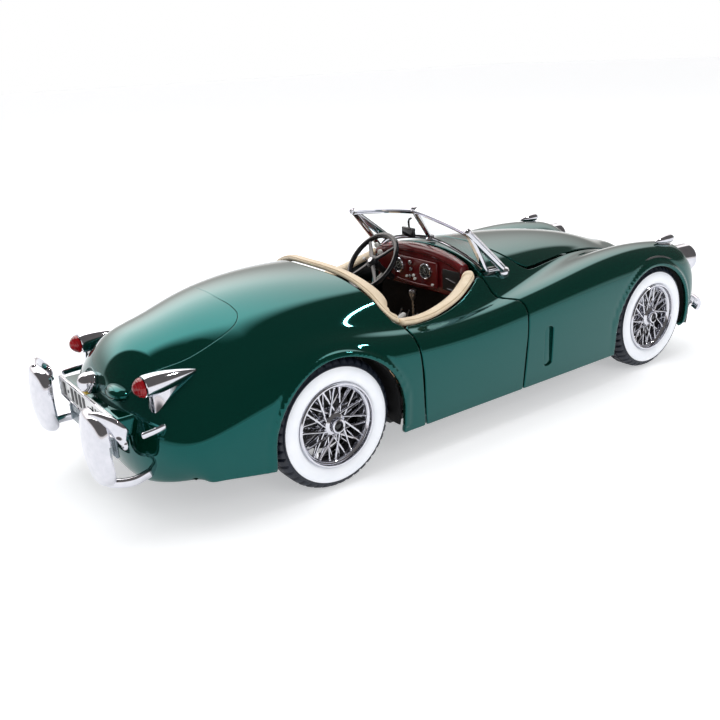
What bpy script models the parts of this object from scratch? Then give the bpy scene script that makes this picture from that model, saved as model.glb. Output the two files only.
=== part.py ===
"""Die-cast open two-seater collector car, built as separate sub-parts with working joints.

Lengths are written in millimetres in the axle frame: X forward from the middle of the
wheelbase, Y to the car's left, Z up from the ground.  Finished objects are moved so that
the origin lies under the middle of the overall length, and are stored in metres.
"""
from math import acos, atan2, cos, pi, radians, sin, sqrt

import bmesh
import bpy
from mathutils import Matrix, Vector
from mathutils.bvhtree import BVHTree

MM = 0.001

# ---- driving dimensions ----
AXLE_X = 54.0          # half the wheelbase
TYRE_R = 14.6
TYRE_OUTER_Y = 30.2
TYRE_WIDTH = 8.4
RIM_R = 9.6
HUB_R = 2.4
SPOKES = 8
SKIN = 1.1             # panel thickness
GAP = 0.45             # panel gap
CLEAR = 0.32           # clearance between neighbouring parts
DOOR_HINGE = (1.9, 31.5)
BONNET_HINGE = (5.6, 41.6)
KINGPIN_Y = 20.6
STEER_ARM = 6.5
GRILLE_Z = 18.8

# Body cage: each line runs along the car; half width and height at the stations, then
# the point that reaches furthest at the nose and tail, and the lower lip at each end.
STATIONS = (62, 50, 34, 17, 0, -17, -33, -46, -58, -70, -80)
CAGE = {
    "centre": dict(
        y=(0, 0, 0, 0, 0, 0, 0, 0, 0, 0, 0),
        z=(31.6, 36.0, 39.1, 40.6, 41.2, 41.3, 41.9, 43.0, 42.9, 41.3, 37.9),
        nose=(76.5, 0, 15.5), nose_lip=(73, 0, 8.5), tail=(-95, 0, 19), tail_lip=(-91.5, 0, 8.5)),
    "shoulder": dict(
        y=(8, 10.5, 13, 16.5, 20, 21.6, 21.8, 21, 19.5, 17.2, 14.6),
        z=(29.4, 33.4, 36.0, 37.0, 37.4, 37.6, 37.8, 38.0, 37.3, 35.3, 31.6),
        nose=(76, 5.5, 15.5), nose_lip=(73, 6, 8.5), tail=(-95, 9.5, 17), tail_lip=(-91.5, 8, 8.5)),
    "valley": dict(
        y=(11.8, 13.2, 15.6, 19.6, 23.6, 25, 25.2, 24.8, 23.7, 22, 19.8),
        z=(27.8, 31.4, 32.8, 32.0, 30.9, 30.2, 30.6, 32.4, 33.0, 31.2, 27.1),
        nose=(75.5, 10.5, 14.5), nose_lip=(72.5, 12, 8.5), tail=(-94.4, 13, 14), tail_lip=(-91.3, 12, 8.8)),
    "crest_in": dict(
        y=(20, 20.8, 22.2, 24.6, 26.8, 27.4, 27.4, 27.2, 26.5, 25.2, 23.2),
        z=(34.6, 35.8, 35.2, 32.8, 30.5, 28.9, 29.8, 32.4, 33.3, 31.4, 27.2),
        nose=(78.2, 18, 17), nose_lip=(73, 17, 8.5), tail=(-93.4, 16.8, 12.5), tail_lip=(-91, 15.5, 9.2)),
    "crest_out": dict(
        y=(26.6, 27.4, 28.2, 29.2, 29.7, 29.9, 30, 30, 29.4, 28.1, 26.2),
        z=(34.0, 35.0, 34.2, 31.8, 29.5, 28.0, 28.7, 30.9, 31.8, 29.6, 25),
        nose=(77.4, 24, 17), nose_lip=(72.5, 22, 8.5), tail=(-91.8, 20, 11.5), tail_lip=(-90.2, 18.6, 9.8)),
    "flank": dict(
        y=(30.5, 31, 31.3, 31.5, 31.6, 31.7, 31.9, 32.1, 31.8, 30.7, 28.8),
        z=(30.0, 30.8, 30.2, 28.4, 26.8, 25.6, 26.2, 27.4, 27.2, 24.4, 20.8),
        nose=(75.4, 28.6, 15), nose_lip=(71.6, 26, 8.5), tail=(-89.4, 23, 11.6), tail_lip=(-88.6, 21.8, 10.4)),
    "sill": dict(
        y=(30.6, 30.7, 30.8, 30.9, 30.9, 30.9, 31, 31.1, 31, 29.8, 27.8),
        z=(8.3, 8.2, 8.2, 8.2, 8.2, 8.2, 8.2, 8.3, 8.5, 9.2, 10.4),
        nose=(66.8, 30.45, 8.35), nose_lip=(67.8, 30.0, 8.4), tail=(-83.4, 26.0, 10.8), tail_lip=(-84.6, 25.0, 11.1)),
}

# Half outline of the cockpit opening in plan, from the scuttle round to the rear deck.
COCKPIT = ((-3.3, 0), (-3.3, 12), (-3.5, 18.6), (-6.2, 21.2), (-12.5, 23.6), (-20.5, 25.2),
           (-29.0, 26.0), (-33.6, 25.4), (-36.6, 22.6), (-38.2, 18.0), (-39.6, 12), (-41.6, 5), (-42.2, 0))
# Half outline of the bonnet in plan, from the middle of its rear edge to its front edge.
BONNET = ((6.4, 0), (6.9, 8), (8.2, 13.6), (10.6, 17.2), (13.4, 18.8), (16.4, 18.8), (25, 17.0),
          (34, 15.0), (46, 12.6), (58, 10.0), (65, 8.2), (68, 6.8), (69.4, 4.2), (69.8, 0))
# Front edge of the door in plan, from the scuttle corner out over the wing.
DOOR_FRONT = ((-3.6, 14), (-3.5, 19.3), (-1.8, 24.5), (2.0, 28.4), (2.3, 30), (2.3, 40))
DOOR_REAR_X = -32.6


# ---------------------------------------------------------------- scene and materials

def clear_scene():
    for obj in list(bpy.data.objects):
        bpy.data.objects.remove(obj, do_unlink=True)
    for mesh in list(bpy.data.meshes):
        bpy.data.meshes.remove(mesh)


def material(name, color, metallic=0.0, roughness=0.5, alpha=1.0):
    mat = bpy.data.materials.new(name)
    mat.use_nodes = True
    shader = mat.node_tree.nodes["Principled BSDF"]
    shader.inputs["Base Color"].default_value = (*color, 1.0)
    shader.inputs["Metallic"].default_value = metallic
    shader.inputs["Roughness"].default_value = roughness
    shader.inputs["Alpha"].default_value = alpha
    return mat


clear_scene()
FINISH = {
    "green": ((0.006, 0.055, 0.040), 0.0, 0.12),
    "chrome": ((0.85, 0.86, 0.88), 1.0, 0.08),
    "rubber": ((0.02, 0.02, 0.022), 0.0, 0.75),
    "black": ((0.015, 0.015, 0.016), 0.0, 0.4),
    "cream": ((0.78, 0.66, 0.46), 0.0, 0.5),
    "tan": ((0.52, 0.36, 0.21), 0.0, 0.6),
    "maroon": ((0.16, 0.015, 0.015), 0.0, 0.3),
    "steel": ((0.55, 0.55, 0.57), 1.0, 0.35),
    "alloy": ((0.70, 0.70, 0.72), 1.0, 0.3),
    "red_lens": ((0.40, 0.01, 0.02), 0.0, 0.1),
    "clear_lens": ((0.85, 0.90, 0.92), 0.0, 0.05),
    "glass": ((0.85, 0.92, 0.92), 0.0, 0.03),
    "white": ((0.85, 0.85, 0.83), 0.0, 0.4),
}


# ---------------------------------------------------------------- mesh helpers

def make_mesh(name, verts, faces):
    mesh = bpy.data.meshes.new(name)
    mesh.from_pydata([tuple(v) for v in verts], [], faces)
    mesh.update()
    return mesh


def temp(verts, faces):
    """Unfinished object, in millimetres of the axle frame."""
    obj = bpy.data.objects.new("shape", make_mesh("shape", verts, faces))
    bpy.context.scene.collection.objects.link(obj)
    face_out(obj.data)
    return obj


def face_out(mesh):
    bm = bmesh.new()
    bm.from_mesh(mesh)
    bmesh.ops.recalc_face_normals(bm, faces=bm.faces)
    if bm.calc_volume(signed=True) < 0:
        bmesh.ops.reverse_faces(bm, faces=bm.faces)
    bm.to_mesh(mesh)
    bm.free()


def drop(obj):
    bpy.data.objects.remove(obj, do_unlink=True)


def combine(obj, other, how):
    """Cut, join or keep the common part of two closed shapes; the second is used up."""
    mod = obj.modifiers.new("combine", "BOOLEAN")
    mod.operation = how
    mod.solver = "EXACT"
    mod.object = other
    graph = bpy.context.evaluated_depsgraph_get()
    mesh = bpy.data.meshes.new_from_object(obj.evaluated_get(graph))
    obj.modifiers.remove(mod)
    obj.data = mesh
    drop(other)
    return obj


def copy_of(obj):
    dup = obj.copy()
    dup.data = obj.data.copy()
    bpy.context.scene.collection.objects.link(dup)
    return dup


def mirrored(obj, keep=True):
    """Mirror image across the centre plane; the first shape is used up unless it is kept."""
    dup = copy_of(obj)
    dup.data.transform(Matrix.Scale(-1, 4, (0, 1, 0)))
    face_out(dup.data)
    if not keep:
        drop(obj)
    return dup


def moved(obj, matrix):
    obj.data.transform(matrix)
    return obj


def tidy(obj):
    """Weld stray points, dissolve needless edges on flat faces and keep the largest body."""
    for distance in (0.012, 0.006, 0.003, 0.001, 0.0002):
        bm = bmesh.new()
        bm.from_mesh(obj.data)
        bmesh.ops.remove_doubles(bm, verts=bm.verts, dist=distance)
        bmesh.ops.dissolve_degenerate(bm, edges=bm.edges, dist=distance)
        bmesh.ops.dissolve_limit(bm, angle_limit=radians(0.4), verts=bm.verts, edges=bm.edges)
        bmesh.ops.triangulate(bm, faces=bm.faces)
        bmesh.ops.dissolve_degenerate(bm, edges=bm.edges, dist=distance)
        keep_largest(bm)
        closed = all(len(edge.link_faces) == 2 for edge in bm.edges)
        if closed or distance < 0.001:
            bm.to_mesh(obj.data)
        bm.free()
        if closed:
            break
    return obj


def keep_largest(bm):
    seen = set()
    groups = []
    for start in bm.faces:
        if start in seen:
            continue
        seen.add(start)
        stack = [start]
        group = []
        while stack:
            face = stack.pop()
            group.append(face)
            for edge in face.edges:
                for near in edge.link_faces:
                    if near not in seen:
                        seen.add(near)
                        stack.append(near)
        groups.append(group)
    groups.sort(key=lambda g: sum(f.calc_area() for f in g), reverse=True)
    for group in groups[1:]:
        bmesh.ops.delete(bm, geom=group, context="FACES")


def finish(obj, name, finish_name, origin=(0, 0, 0), smooth=True):
    """Move into the part's frame, put the origin on the joint, name it and give it a finish."""
    obj.data.transform(Matrix.Translation((-origin[0], -origin[1], -origin[2])))
    obj.data.transform(Matrix.Scale(MM, 4))
    obj.location = (origin[0] * MM, origin[1] * MM, origin[2] * MM)
    face_out(obj.data)
    for poly in obj.data.polygons:
        poly.use_smooth = smooth
    color, metallic, roughness = FINISH[finish_name]
    obj.data.materials.clear()
    obj.data.materials.append(material(name + "_finish", color, metallic, roughness))
    obj.name = name
    obj.data.name = name
    if smooth:
        obj.data.set_sharp_from_angle(angle=radians(32))
    return obj


def box(x0, x1, y0, y1, z0, z1, bevel=0.0, segments=2):
    corners = [(x, y, z) for x in (x0, x1) for y in (y0, y1) for z in (z0, z1)]
    faces = [(0, 1, 3, 2), (4, 6, 7, 5), (0, 4, 5, 1), (2, 3, 7, 6), (0, 2, 6, 4), (1, 5, 7, 3)]
    obj = temp(corners, faces)
    if bevel:
        bm = bmesh.new()
        bm.from_mesh(obj.data)
        bmesh.ops.bevel(bm, geom=list(bm.edges), offset=bevel, segments=segments, profile=0.5,
                        affect="EDGES", clamp_overlap=True)
        bm.to_mesh(obj.data)
        bm.free()
    return obj


def loft(rings, closed_ends=True, ring_loop=False):
    """Closed skin through rings that all have the same number of points."""
    count = len(rings[0])
    verts = [p for ring in rings for p in ring]
    faces = []
    last = len(rings) if ring_loop else len(rings) - 1
    for i in range(last):
        a = i * count
        b = ((i + 1) % len(rings)) * count
        for j in range(count):
            k = (j + 1) % count
            faces.append((a + j, a + k, b + k, b + j))
    if closed_ends and not ring_loop:
        faces.append(tuple(range(count)))
        faces.append(tuple(range((len(rings) - 1) * count, len(rings) * count)))
    return temp(verts, faces)


def turned(profile, segments, centre=(0, 0, 0), axis=(0, 1, 0), loop=False):
    """Solid of revolution.  The profile holds (radius, distance along the axis)."""
    centre = Vector(centre)
    axis = Vector(axis).normalized()
    side = axis.orthogonal().normalized()
    if abs(axis.y) > 0.99:
        side = Vector((0, 0, 1))
    other = axis.cross(side)
    verts = []
    faces = []
    rows = []
    for radius, along in profile:
        if radius < 1e-6:
            rows.append([len(verts)])
            verts.append(centre + axis * along)
            continue
        row = []
        for i in range(segments):
            angle = 2 * pi * i / segments
            row.append(len(verts))
            verts.append(centre + axis * along + (side * cos(angle) + other * sin(angle)) * radius)
        rows.append(row)
    pairs = list(zip(rows, rows[1:]))
    if loop:
        pairs.append((rows[-1], rows[0]))
    for low, high in pairs:
        for i in range(segments):
            k = (i + 1) % segments
            if len(low) == 1:
                faces.append((low[0], high[k], high[i]))
            elif len(high) == 1:
                faces.append((low[i], low[k], high[0]))
            else:
                faces.append((low[i], low[k], high[k], high[i]))
    if not loop:
        for row in (rows[0], rows[-1]):
            if len(row) > 1:
                faces.append(tuple(row))
    return temp(verts, faces)


def rod(start, end, radius, segments=10, end_radius=None):
    start = Vector(start)
    end = Vector(end)
    length = (end - start).length
    tip = radius if end_radius is None else end_radius
    return turned([(radius, 0), (tip, length)], segments, start, end - start)


def smooth_path(points, per_span):
    """Points of a smooth curve through the given points."""
    pts = [Vector(p) for p in points]
    ends = [2 * pts[0] - pts[1]] + pts + [2 * pts[-1] - pts[-2]]
    out = []
    for i in range(1, len(ends) - 2):
        a, b, c, d = ends[i - 1:i + 3]
        for k in range(per_span):
            t = k / per_span
            out.append(0.5 * (2 * b + (c - a) * t + (2 * a - 5 * b + 4 * c - d) * t * t
                              + (3 * b - a - 3 * c + d) * t ** 3))
    out.append(pts[-1])
    return out


def sweep(path, section, up=(0, 0, 1), loop=False):
    """Sweep a section (across, up) along a path, kept level to the given up direction."""
    rings = []
    count = len(path)
    for i, point in enumerate(path):
        before = path[(i - 1) % count] if loop or i > 0 else path[i]
        after = path[(i + 1) % count] if loop or i < count - 1 else path[i]
        along = (Vector(after) - Vector(before)).normalized()
        across = along.cross(Vector(up)).normalized()
        rise = across.cross(along).normalized()
        shape = section(i / max(1, count - 1)) if callable(section) else section
        rings.append([Vector(point) + across * a + rise * r for a, r in shape])
    return loft(rings, ring_loop=loop)


def oval(width, height, count=10, lift=0.0):
    return [(0.5 * width * cos(2 * pi * i / count), lift + 0.5 * height * sin(2 * pi * i / count))
            for i in range(count)]


def prism_z(outline, z0, z1, lean=None):
    """Upright prism on a plan outline; lean moves each level along X."""
    levels = [z0, z1] if lean is None else [z0, 28.0, z1]
    rings = []
    for z in levels:
        rings.append([(x + (lean(x, z) if lean else 0.0), y, z) for x, y in outline])
    return loft(rings)


def prism_y(outline, y0, y1):
    return loft([[(x, y, z) for x, z in outline] for y in (y0, y1)])


# ---------------------------------------------------------------- body surface

def wrap_points(start, reach, lip):
    """Cage points that round the nose or tail from the last station down to the lip."""
    points = []
    for angle in (64, 34, 8):
        out = cos(radians(angle)) ** 0.8
        rise = sin(radians(angle)) ** 0.8
        points.append(Vector((start.x + (reach.x - start.x) * out,
                              reach.y + (start.y - reach.y) * rise ** 1.3,
                              reach.z + (start.z - reach.z) * rise)))
    points.append(Vector((0.75 * reach.x + 0.25 * lip.x,
                          0.6 * reach.y + 0.4 * lip.y,
                          0.35 * reach.z + 0.65 * lip.z)))
    points.append(lip)
    return points


def cage_line(spec):
    top = [Vector(p) for p in zip(STATIONS, spec["y"], spec["z"])]
    nose = wrap_points(top[0], Vector(spec["nose"]), Vector(spec["nose_lip"]))
    tail = wrap_points(top[-1], Vector(spec["tail"]), Vector(spec["tail_lip"]))
    return nose[::-1] + top + tail


def body_cage():
    lines = {name: cage_line(spec) for name, spec in CAGE.items()}
    crown = []
    for c, s in zip(lines["centre"], lines["shoulder"]):
        crown.append(Vector((0.7 * c.x + 0.3 * s.x, 0.5 * (c.y + s.y), 0.82 * c.z + 0.18 * s.z)))
    middle = [f * 0.58 + b * 0.42 + Vector((0, 0.25, 0)) for f, b in zip(lines["flank"], lines["sill"])]
    lower = [f * 0.20 + b * 0.80 + Vector((0, 0.15, 0)) for f, b in zip(lines["flank"], lines["sill"])]
    return [lines["centre"], crown, lines["shoulder"], lines["valley"], lines["crest_in"],
            lines["crest_out"], lines["flank"], middle, lower, lines["sill"]]


def spline_weights(t, count):
    i = min(max(int(t), 0), count - 2)
    u = t - i
    return i, ((1 - u) ** 3 / 6, (3 * u ** 3 - 6 * u * u + 4) / 6,
               (-3 * u ** 3 + 3 * u * u + 3 * u + 1) / 6, u ** 3 / 6)


def padded_cage():
    lines = body_cage()
    mirror = [Vector((p.x, -p.y, p.z)) for p in lines[1]]
    beyond = [2 * a - b for a, b in zip(lines[-1], lines[-2])]
    lines = [mirror] + lines + [beyond]
    return [[2 * line[0] - line[1]] + line + [2 * line[-1] - line[-2]] for line in lines]


PADDED = padded_cage()
LINE_COUNT = len(PADDED) - 2
STATION_COUNT = len(PADDED[0]) - 2


def body_point(s, v):
    """Point of the left half of the skin; s runs nose to tail, v from the centre to the sill."""
    i, wi = spline_weights(v, LINE_COUNT)
    j, wj = spline_weights(s, STATION_COUNT)
    total = Vector((0, 0, 0))
    for a in range(4):
        for b in range(4):
            total += PADDED[i + a][j + b] * (wi[a] * wj[b])
    return total


def body_normal(s, v):
    e = 0.02
    along = body_point(min(s + e, STATION_COUNT - 1), v) - body_point(max(s - e, 0), v)
    if v < 1e-6:
        p = body_point(s, e)
        across = p - Vector((p.x, -p.y, p.z))
    else:
        across = body_point(s, min(v + e, LINE_COUNT - 1)) - body_point(s, v - e)
    return across.cross(along).normalized()


STEPS_ALONG = [i * (STATION_COUNT - 1) / 28 for i in range(29)]
STEPS_ACROSS = (0, 0.9, 1.7, 2.4, 3.0, 3.6, 4.2, 4.8, 5.4, 6.2, 7.4, 9.0)


def wall_share(s, v):
    """The wall thins towards the lower corners of the nose and tail."""
    low = min(1.0, max(0.0, (v - 5.0) / 2.0))
    end = min(1.0, max(0.0, min(s, STATION_COUNT - 1 - s) / 5.5))
    return 1.0 - 0.72 * low * (1.0 - end)


def skin_points(depth):
    rows = []
    for s in STEPS_ALONG:
        half = []
        for v in STEPS_ACROSS:
            normal = body_normal(s, v)
            if v == 0:
                normal.y = 0
                normal.normalize()
            half.append(body_point(s, v) - normal * depth * wall_share(s, v))
        rows.append([Vector((p.x, -p.y, p.z)) for p in half[:0:-1]] + half)
    return rows


def skin_shell(outer_depth, inner_depth):
    """Closed shell between two depths below the body surface."""
    outer = skin_points(outer_depth)
    inner = skin_points(inner_depth)
    rows = len(outer)
    cols = len(outer[0])
    verts = [p for row in outer for p in row] + [p for row in inner for p in row]
    base = rows * cols
    faces = []
    for i in range(rows - 1):
        for j in range(cols - 1):
            a = i * cols + j
            quad = (a, a + 1, a + cols + 1, a + cols)
            faces.append(quad)
            faces.append(tuple(base + k for k in quad[::-1]))
    for i in range(rows - 1):
        for j in (0, cols - 1):
            a = i * cols + j
            faces.append((a, a + cols, base + a + cols, base + a))
    for i in (0, rows - 1):
        for j in range(cols - 1):
            a = i * cols + j
            faces.append((a, a + 1, base + a + 1, base + a))
    return temp(verts, faces)


def skin_solid(depth):
    """Everything below the body surface, down to the lower edge, as one closed shape."""
    rows = skin_points(depth)
    height = len(rows)
    cols = len(rows[0])
    verts = [p for row in rows for p in row]
    faces = [(i * cols + j, i * cols + j + 1, (i + 1) * cols + j + 1, (i + 1) * cols + j)
             for i in range(height - 1) for j in range(cols - 1)]
    rim = list(range(cols)) + [i * cols + cols - 1 for i in range(1, height)]
    rim += [(height - 1) * cols + j for j in range(cols - 2, -1, -1)]
    rim += [i * cols for i in range(height - 2, 0, -1)]
    middle = len(verts)
    verts.append(Vector((0, 0, 8.4)))
    faces += [(a, b, middle) for a, b in zip(rim, rim[1:] + rim[:1])]
    return temp(verts, faces)


def skin_tree():
    rows = skin_points(0.0)
    cols = len(rows[0])
    verts = [p for row in rows for p in row]
    faces = [(i * cols + j, i * cols + j + 1, (i + 1) * cols + j + 1, (i + 1) * cols + j)
             for i in range(len(rows) - 1) for j in range(cols - 1)]
    return BVHTree.FromPolygons(verts, faces)


SKIN_TREE = skin_tree()


def skin_z(x, y):
    """Height of the body surface above a plan position."""
    hit = SKIN_TREE.ray_cast(Vector((x, y, 80)), Vector((0, 0, -1)))
    return hit[0].z if hit[0] else 0.0


def skin_side(x, z):
    """Half width of the body surface at a side position."""
    hit = SKIN_TREE.ray_cast(Vector((x, 60, z)), Vector((0, -1, 0)))
    return hit[0].y if hit[0] else 0.0


def both_sides(half):
    """Closed plan outline from a half outline that starts and ends on the centre line."""
    return [(x, y) for x, y in half] + [(x, -y) for x, y in half[-2:0:-1]]


def shrunk(outline, amount):
    """Plan or side outline moved inwards by an amount."""
    count = len(outline)
    area = sum(outline[i][0] * outline[(i + 1) % count][1] - outline[(i + 1) % count][0] * outline[i][1]
               for i in range(count))
    turn = 1 if area > 0 else -1
    result = []
    for i in range(count):
        ax, ay = outline[i - 1]
        bx, by = outline[i]
        cx, cy = outline[(i + 1) % count]
        n1 = Vector((-(by - ay), bx - ax)).normalized() * turn
        n2 = Vector((-(cy - by), cx - bx)).normalized() * turn
        n = (n1 + n2).normalized()
        scale = amount / max(0.5, n.dot(n1))
        result.append((bx + n.x * scale, by + n.y * scale))
    return result


# ---------------------------------------------------------------- cutters

COCKPIT_OUTLINE = both_sides(COCKPIT)
BONNET_OUTLINE = both_sides(BONNET)


def door_lean(x, z):
    drop_z = max(0.0, 28.0 - z)
    return -0.055 * drop_z if x > -15 else 0.085 * drop_z


def door_cutter(inset):
    """Upright block that takes one door out of the left side; inset narrows it."""
    front = [(x - inset, y) for x, y in DOOR_FRONT]
    outline = front + [(DOOR_REAR_X + inset, 40), (DOOR_REAR_X + inset, 14)]
    return prism_z(outline, 4.0, 60.0, door_lean)


def arch_cutter(x, half_length, height, y0, y1, centre_z=13.6):
    points = [(x + half_length * cos(radians(a)), centre_z + height * sin(radians(a))) for a in range(0, 181, 9)]
    outline = [(x + half_length, -5)] + points + [(x - half_length, -5)]
    return prism_y(outline, y0, y1)


def wheel_bay_cutters(shape):
    for x, half_length, height in ((AXLE_X - 1.2, 16.5, 15.8), (-AXLE_X + 0.6, 15.7, 15.5)):
        shape = combine(shape, arch_cutter(x, half_length, height, 26, 40), "DIFFERENCE")
        shape = combine(shape, arch_cutter(x, half_length, height, -40, -26), "DIFFERENCE")
    return shape


# ---------------------------------------------------------------- body and panels

def build_body():
    body = wheel_bay_cutters(skin_shell(0.0, SKIN))
    grille_hole = turned([(1, -6), (1, 12)], 20, (72, 0, GRILLE_Z), (1, 0, 0))
    moved(grille_hole, scaled_about((72, 0, GRILLE_Z), (1, 6.2, 7.7)))
    body = combine(body, grille_hole, "DIFFERENCE")
    for side in (1, -1):
        lamp = rod((66, side * 24.2, 27.66), (90, side * 24.2, 26.22), 4.45, 24)
        body = combine(body, lamp, "DIFFERENCE")
        vent = box(7.8, 10.8, min(side * 30.95, side * 34), max(side * 30.95, side * 34), 12.2, 22.4)
        body = combine(body, vent, "DIFFERENCE")
    body = combine(body, prism_z(COCKPIT_OUTLINE, 24, 60), "DIFFERENCE")
    body = combine(body, prism_z(BONNET_OUTLINE, 24.0, 60), "DIFFERENCE")
    body = combine(body, door_cutter(0.0), "DIFFERENCE")
    body = combine(body, mirrored(door_cutter(0.0), keep=False), "DIFFERENCE")
    for side in (1, -1):
        inner, outer = side * 26.6, side * 29.2
        rocker = box(-36.9, 7.5, min(inner, outer), max(inner, outer), 8.7, 10.4)
        for x0, x1 in ((-36.9, -33.6), (3.4, 7.5)):
            tab = box(x0, x1, min(inner, side * 30.6), max(inner, side * 30.6), 8.9, 10.2)
            rocker = combine(rocker, tab, "UNION")
        body = combine(body, rocker, "UNION")
    plinth = box(-95.4, -90.6, -15.8, 15.8, 19.7, 23.9, 0.5, 1)
    return combine(body, plinth, "UNION")


def scaled_about(centre, factors):
    to = Matrix.Translation(Vector(centre))
    back = Matrix.Translation(-Vector(centre))
    return to @ Matrix.Diagonal((*factors, 1.0)) @ back


def build_door():
    door = skin_shell(0.0, SKIN)
    door = combine(door, door_cutter(GAP), "INTERSECT")
    door = combine(door, prism_z(COCKPIT_OUTLINE, 20, 60), "DIFFERENCE")
    return door


def build_bonnet():
    panel = skin_shell(0.0, SKIN)
    return combine(panel, prism_z(shrunk(BONNET_OUTLINE, GAP), 24.0, 60), "INTERSECT")


def trim_path(half_points, drop_height=0.0):
    points = smooth_path([(x, y, 0) for x, y in half_points], 2)
    return [Vector((p.x, p.y, skin_z(p.x, p.y) - drop_height)) for p in points]


def build_trim(points, width, height):
    """Padded roll that sits just inside an edge of the cockpit opening."""
    path = trim_path(points)
    inset = CLEAR + 0.5 * width
    rings = []
    for i, point in enumerate(path):
        before = path[max(0, i - 1)]
        after = path[min(len(path) - 1, i + 1)]
        along = (after - before).normalized()
        inward = along.cross(Vector((0, 0, 1)))
        inward.z = 0
        inward.normalize()
        if inward.dot(Vector((-20, 0, 0)) - Vector((point.x, point.y, 0))) < 0:
            inward = -inward
        centre = point + inward * inset
        slope = skin_z(point.x - inward.x, point.y - inward.y) - point.z
        rings.append([centre + inward * a + Vector((0, 0, r - 0.35 * slope * 0.2)) for a, r in
                      oval(width, height, 8, 0.25)])
    return loft(rings)


# ---------------------------------------------------------------- wheels

def build_tyre(x, side):
    outer = TYRE_OUTER_Y
    inner = outer - TYRE_WIDTH
    r = TYRE_R
    profile = [(RIM_R + 0.35, outer - 0.6), (11.2, outer), (12.9, outer - 0.25), (13.9, outer - 0.9),
               (r, outer - 2.4), (r, inner + 2.4), (13.9, inner + 0.9), (12.4, inner + 0.1),
               (RIM_R + 0.35, inner + 0.6)]
    return turned([(a, side * b) for a, b in profile], 32, (x, 0, TYRE_R), (0, 1, 0), loop=True)


def build_wire_wheel(x, side):
    """Rim barrel, hub with a centre nut and two crossed rows of spokes, as one body."""
    outer = TYRE_OUTER_Y
    barrel = [(RIM_R, outer - 0.3), (RIM_R, outer - TYRE_WIDTH + 0.6), (RIM_R - 0.9, outer - TYRE_WIDTH + 0.6),
              (RIM_R - 0.9, outer - 1.1), (RIM_R - 0.5, outer - 0.3)]
    rim = turned([(a, side * b) for a, b in barrel], 24, (x, 0, TYRE_R), (0, 1, 0), loop=True)
    hub = turned([(0.9, side * 23.4), (HUB_R, side * 23.4), (HUB_R, side * 28.4), (1.6, side * 29.0),
                  (1.6, side * 30.2), (0.9, side * 30.4), (0.9, side * 28.0)], 12, (x, 0, TYRE_R), (0, 1, 0), loop=True)
    if side > 0:
        hub = combine(hub, turned([(1.1, 27.0), (1.1, 29.4)], 10, (x, 0, TYRE_R), (0, 1, 0)), "UNION")
    else:
        hub = combine(hub, turned([(1.1, -29.4), (1.1, -27.0)], 10, (x, 0, TYRE_R), (0, 1, 0)), "UNION")
    wheel = combine(rim, hub, "UNION")
    for i in range(SPOKES):
        for lean, depth in ((22, 27.9), (-22, 26.3)):
            a = 2 * pi * i / SPOKES + (0.5 * pi / SPOKES if lean > 0 else -0.5 * pi / SPOKES)
            b = a + radians(lean)
            start = (x + 1.9 * cos(a), side * depth, TYRE_R + 1.9 * sin(a))
            end = (x + (RIM_R - 0.5) * cos(b), side * (depth - 0.2), TYRE_R + (RIM_R - 0.5) * sin(b))
            wheel = combine(wheel, rod(start, end, 0.3, 4), "UNION")
    return wheel


# ---------------------------------------------------------------- chassis, axles and steering

def join(shapes):
    first = shapes[0]
    for shape in shapes[1:]:
        first = combine(first, shape, "UNION")
    return first


def build_base_plate():
    half = ((69.5, 0), (69.5, 12), (68.5, 15.2), (35.0, 15.2), (35.0, 27.9), (8.3, 27.9), (8.3, 26.1),
            (-37.4, 26.1), (-37.4, 20.4), (-69.8, 20.4), (-69.8, 24.0), (-77, 22.8), (-83, 20.0),
            (-87.2, 15.5), (-89.2, 9), (-89.6, 0))
    plate = prism_z(both_sides(half), 8.9, 10.2)
    parts = [plate]
    for side in (1, -1):
        parts.append(box(-84, 60, side * 7 - 0.8, side * 7 + 0.8, 8.1, 9.2))
        parts.append(box(AXLE_X - 2.2, AXLE_X + 2.2, min(side * 14, side * 22.2), max(side * 14, side * 22.2), 8.9, 10.2))
        parts.append(box(-AXLE_X - 2.2, -AXLE_X + 2.2, side * 14 - 1.2, side * 14 + 1.2, 9.5, 17.4, 0.4, 1))
    plate = join(parts)
    for side in (1, -1):
        bearing = turned([(1.3, side * 14 - 3), (1.3, side * 14 + 3)], 16, (-AXLE_X, 0, TYRE_R), (0, 1, 0))
        plate = combine(plate, bearing, "DIFFERENCE")
    return plate


def build_rear_axle():
    return turned([(0.9, -23.0), (0.9, 23.0)], 16, (-AXLE_X, 0, TYRE_R), (0, 1, 0))


def build_knuckle():
    """Upright with a stub axle outwards and a steering arm to the rear; kingpin is upright."""
    post = rod((AXLE_X, KINGPIN_Y, 10.6), (AXLE_X, KINGPIN_Y, 18.8), 1.4, 14)
    stub = rod((AXLE_X, KINGPIN_Y, TYRE_R), (AXLE_X, 23.0, TYRE_R), 0.9, 12)
    arm = box(AXLE_X - STEER_ARM - 0.9, AXLE_X, KINGPIN_Y - 0.9, KINGPIN_Y + 0.9, 11.0, 12.2, 0.3, 1)
    pin = rod((AXLE_X - STEER_ARM, KINGPIN_Y, 11.8), (AXLE_X - STEER_ARM, KINGPIN_Y, 14.6), 0.55, 10)
    return join([post, stub, arm, pin])


def build_tie_rod():
    """Cross bar with a slot at each end that the steering arm pins work in."""
    x = AXLE_X - STEER_ARM
    bar = box(x - 1.9, x + 1.9, -22.6, 22.6, 12.7, 13.9, 0.3, 1)
    for side in (1, -1):
        slot = box(x - 1.0, x + 1.1, side * KINGPIN_Y - 0.9, side * KINGPIN_Y + 0.9, 12, 15)
        bar = combine(bar, slot, "DIFFERENCE")
    return bar


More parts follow.
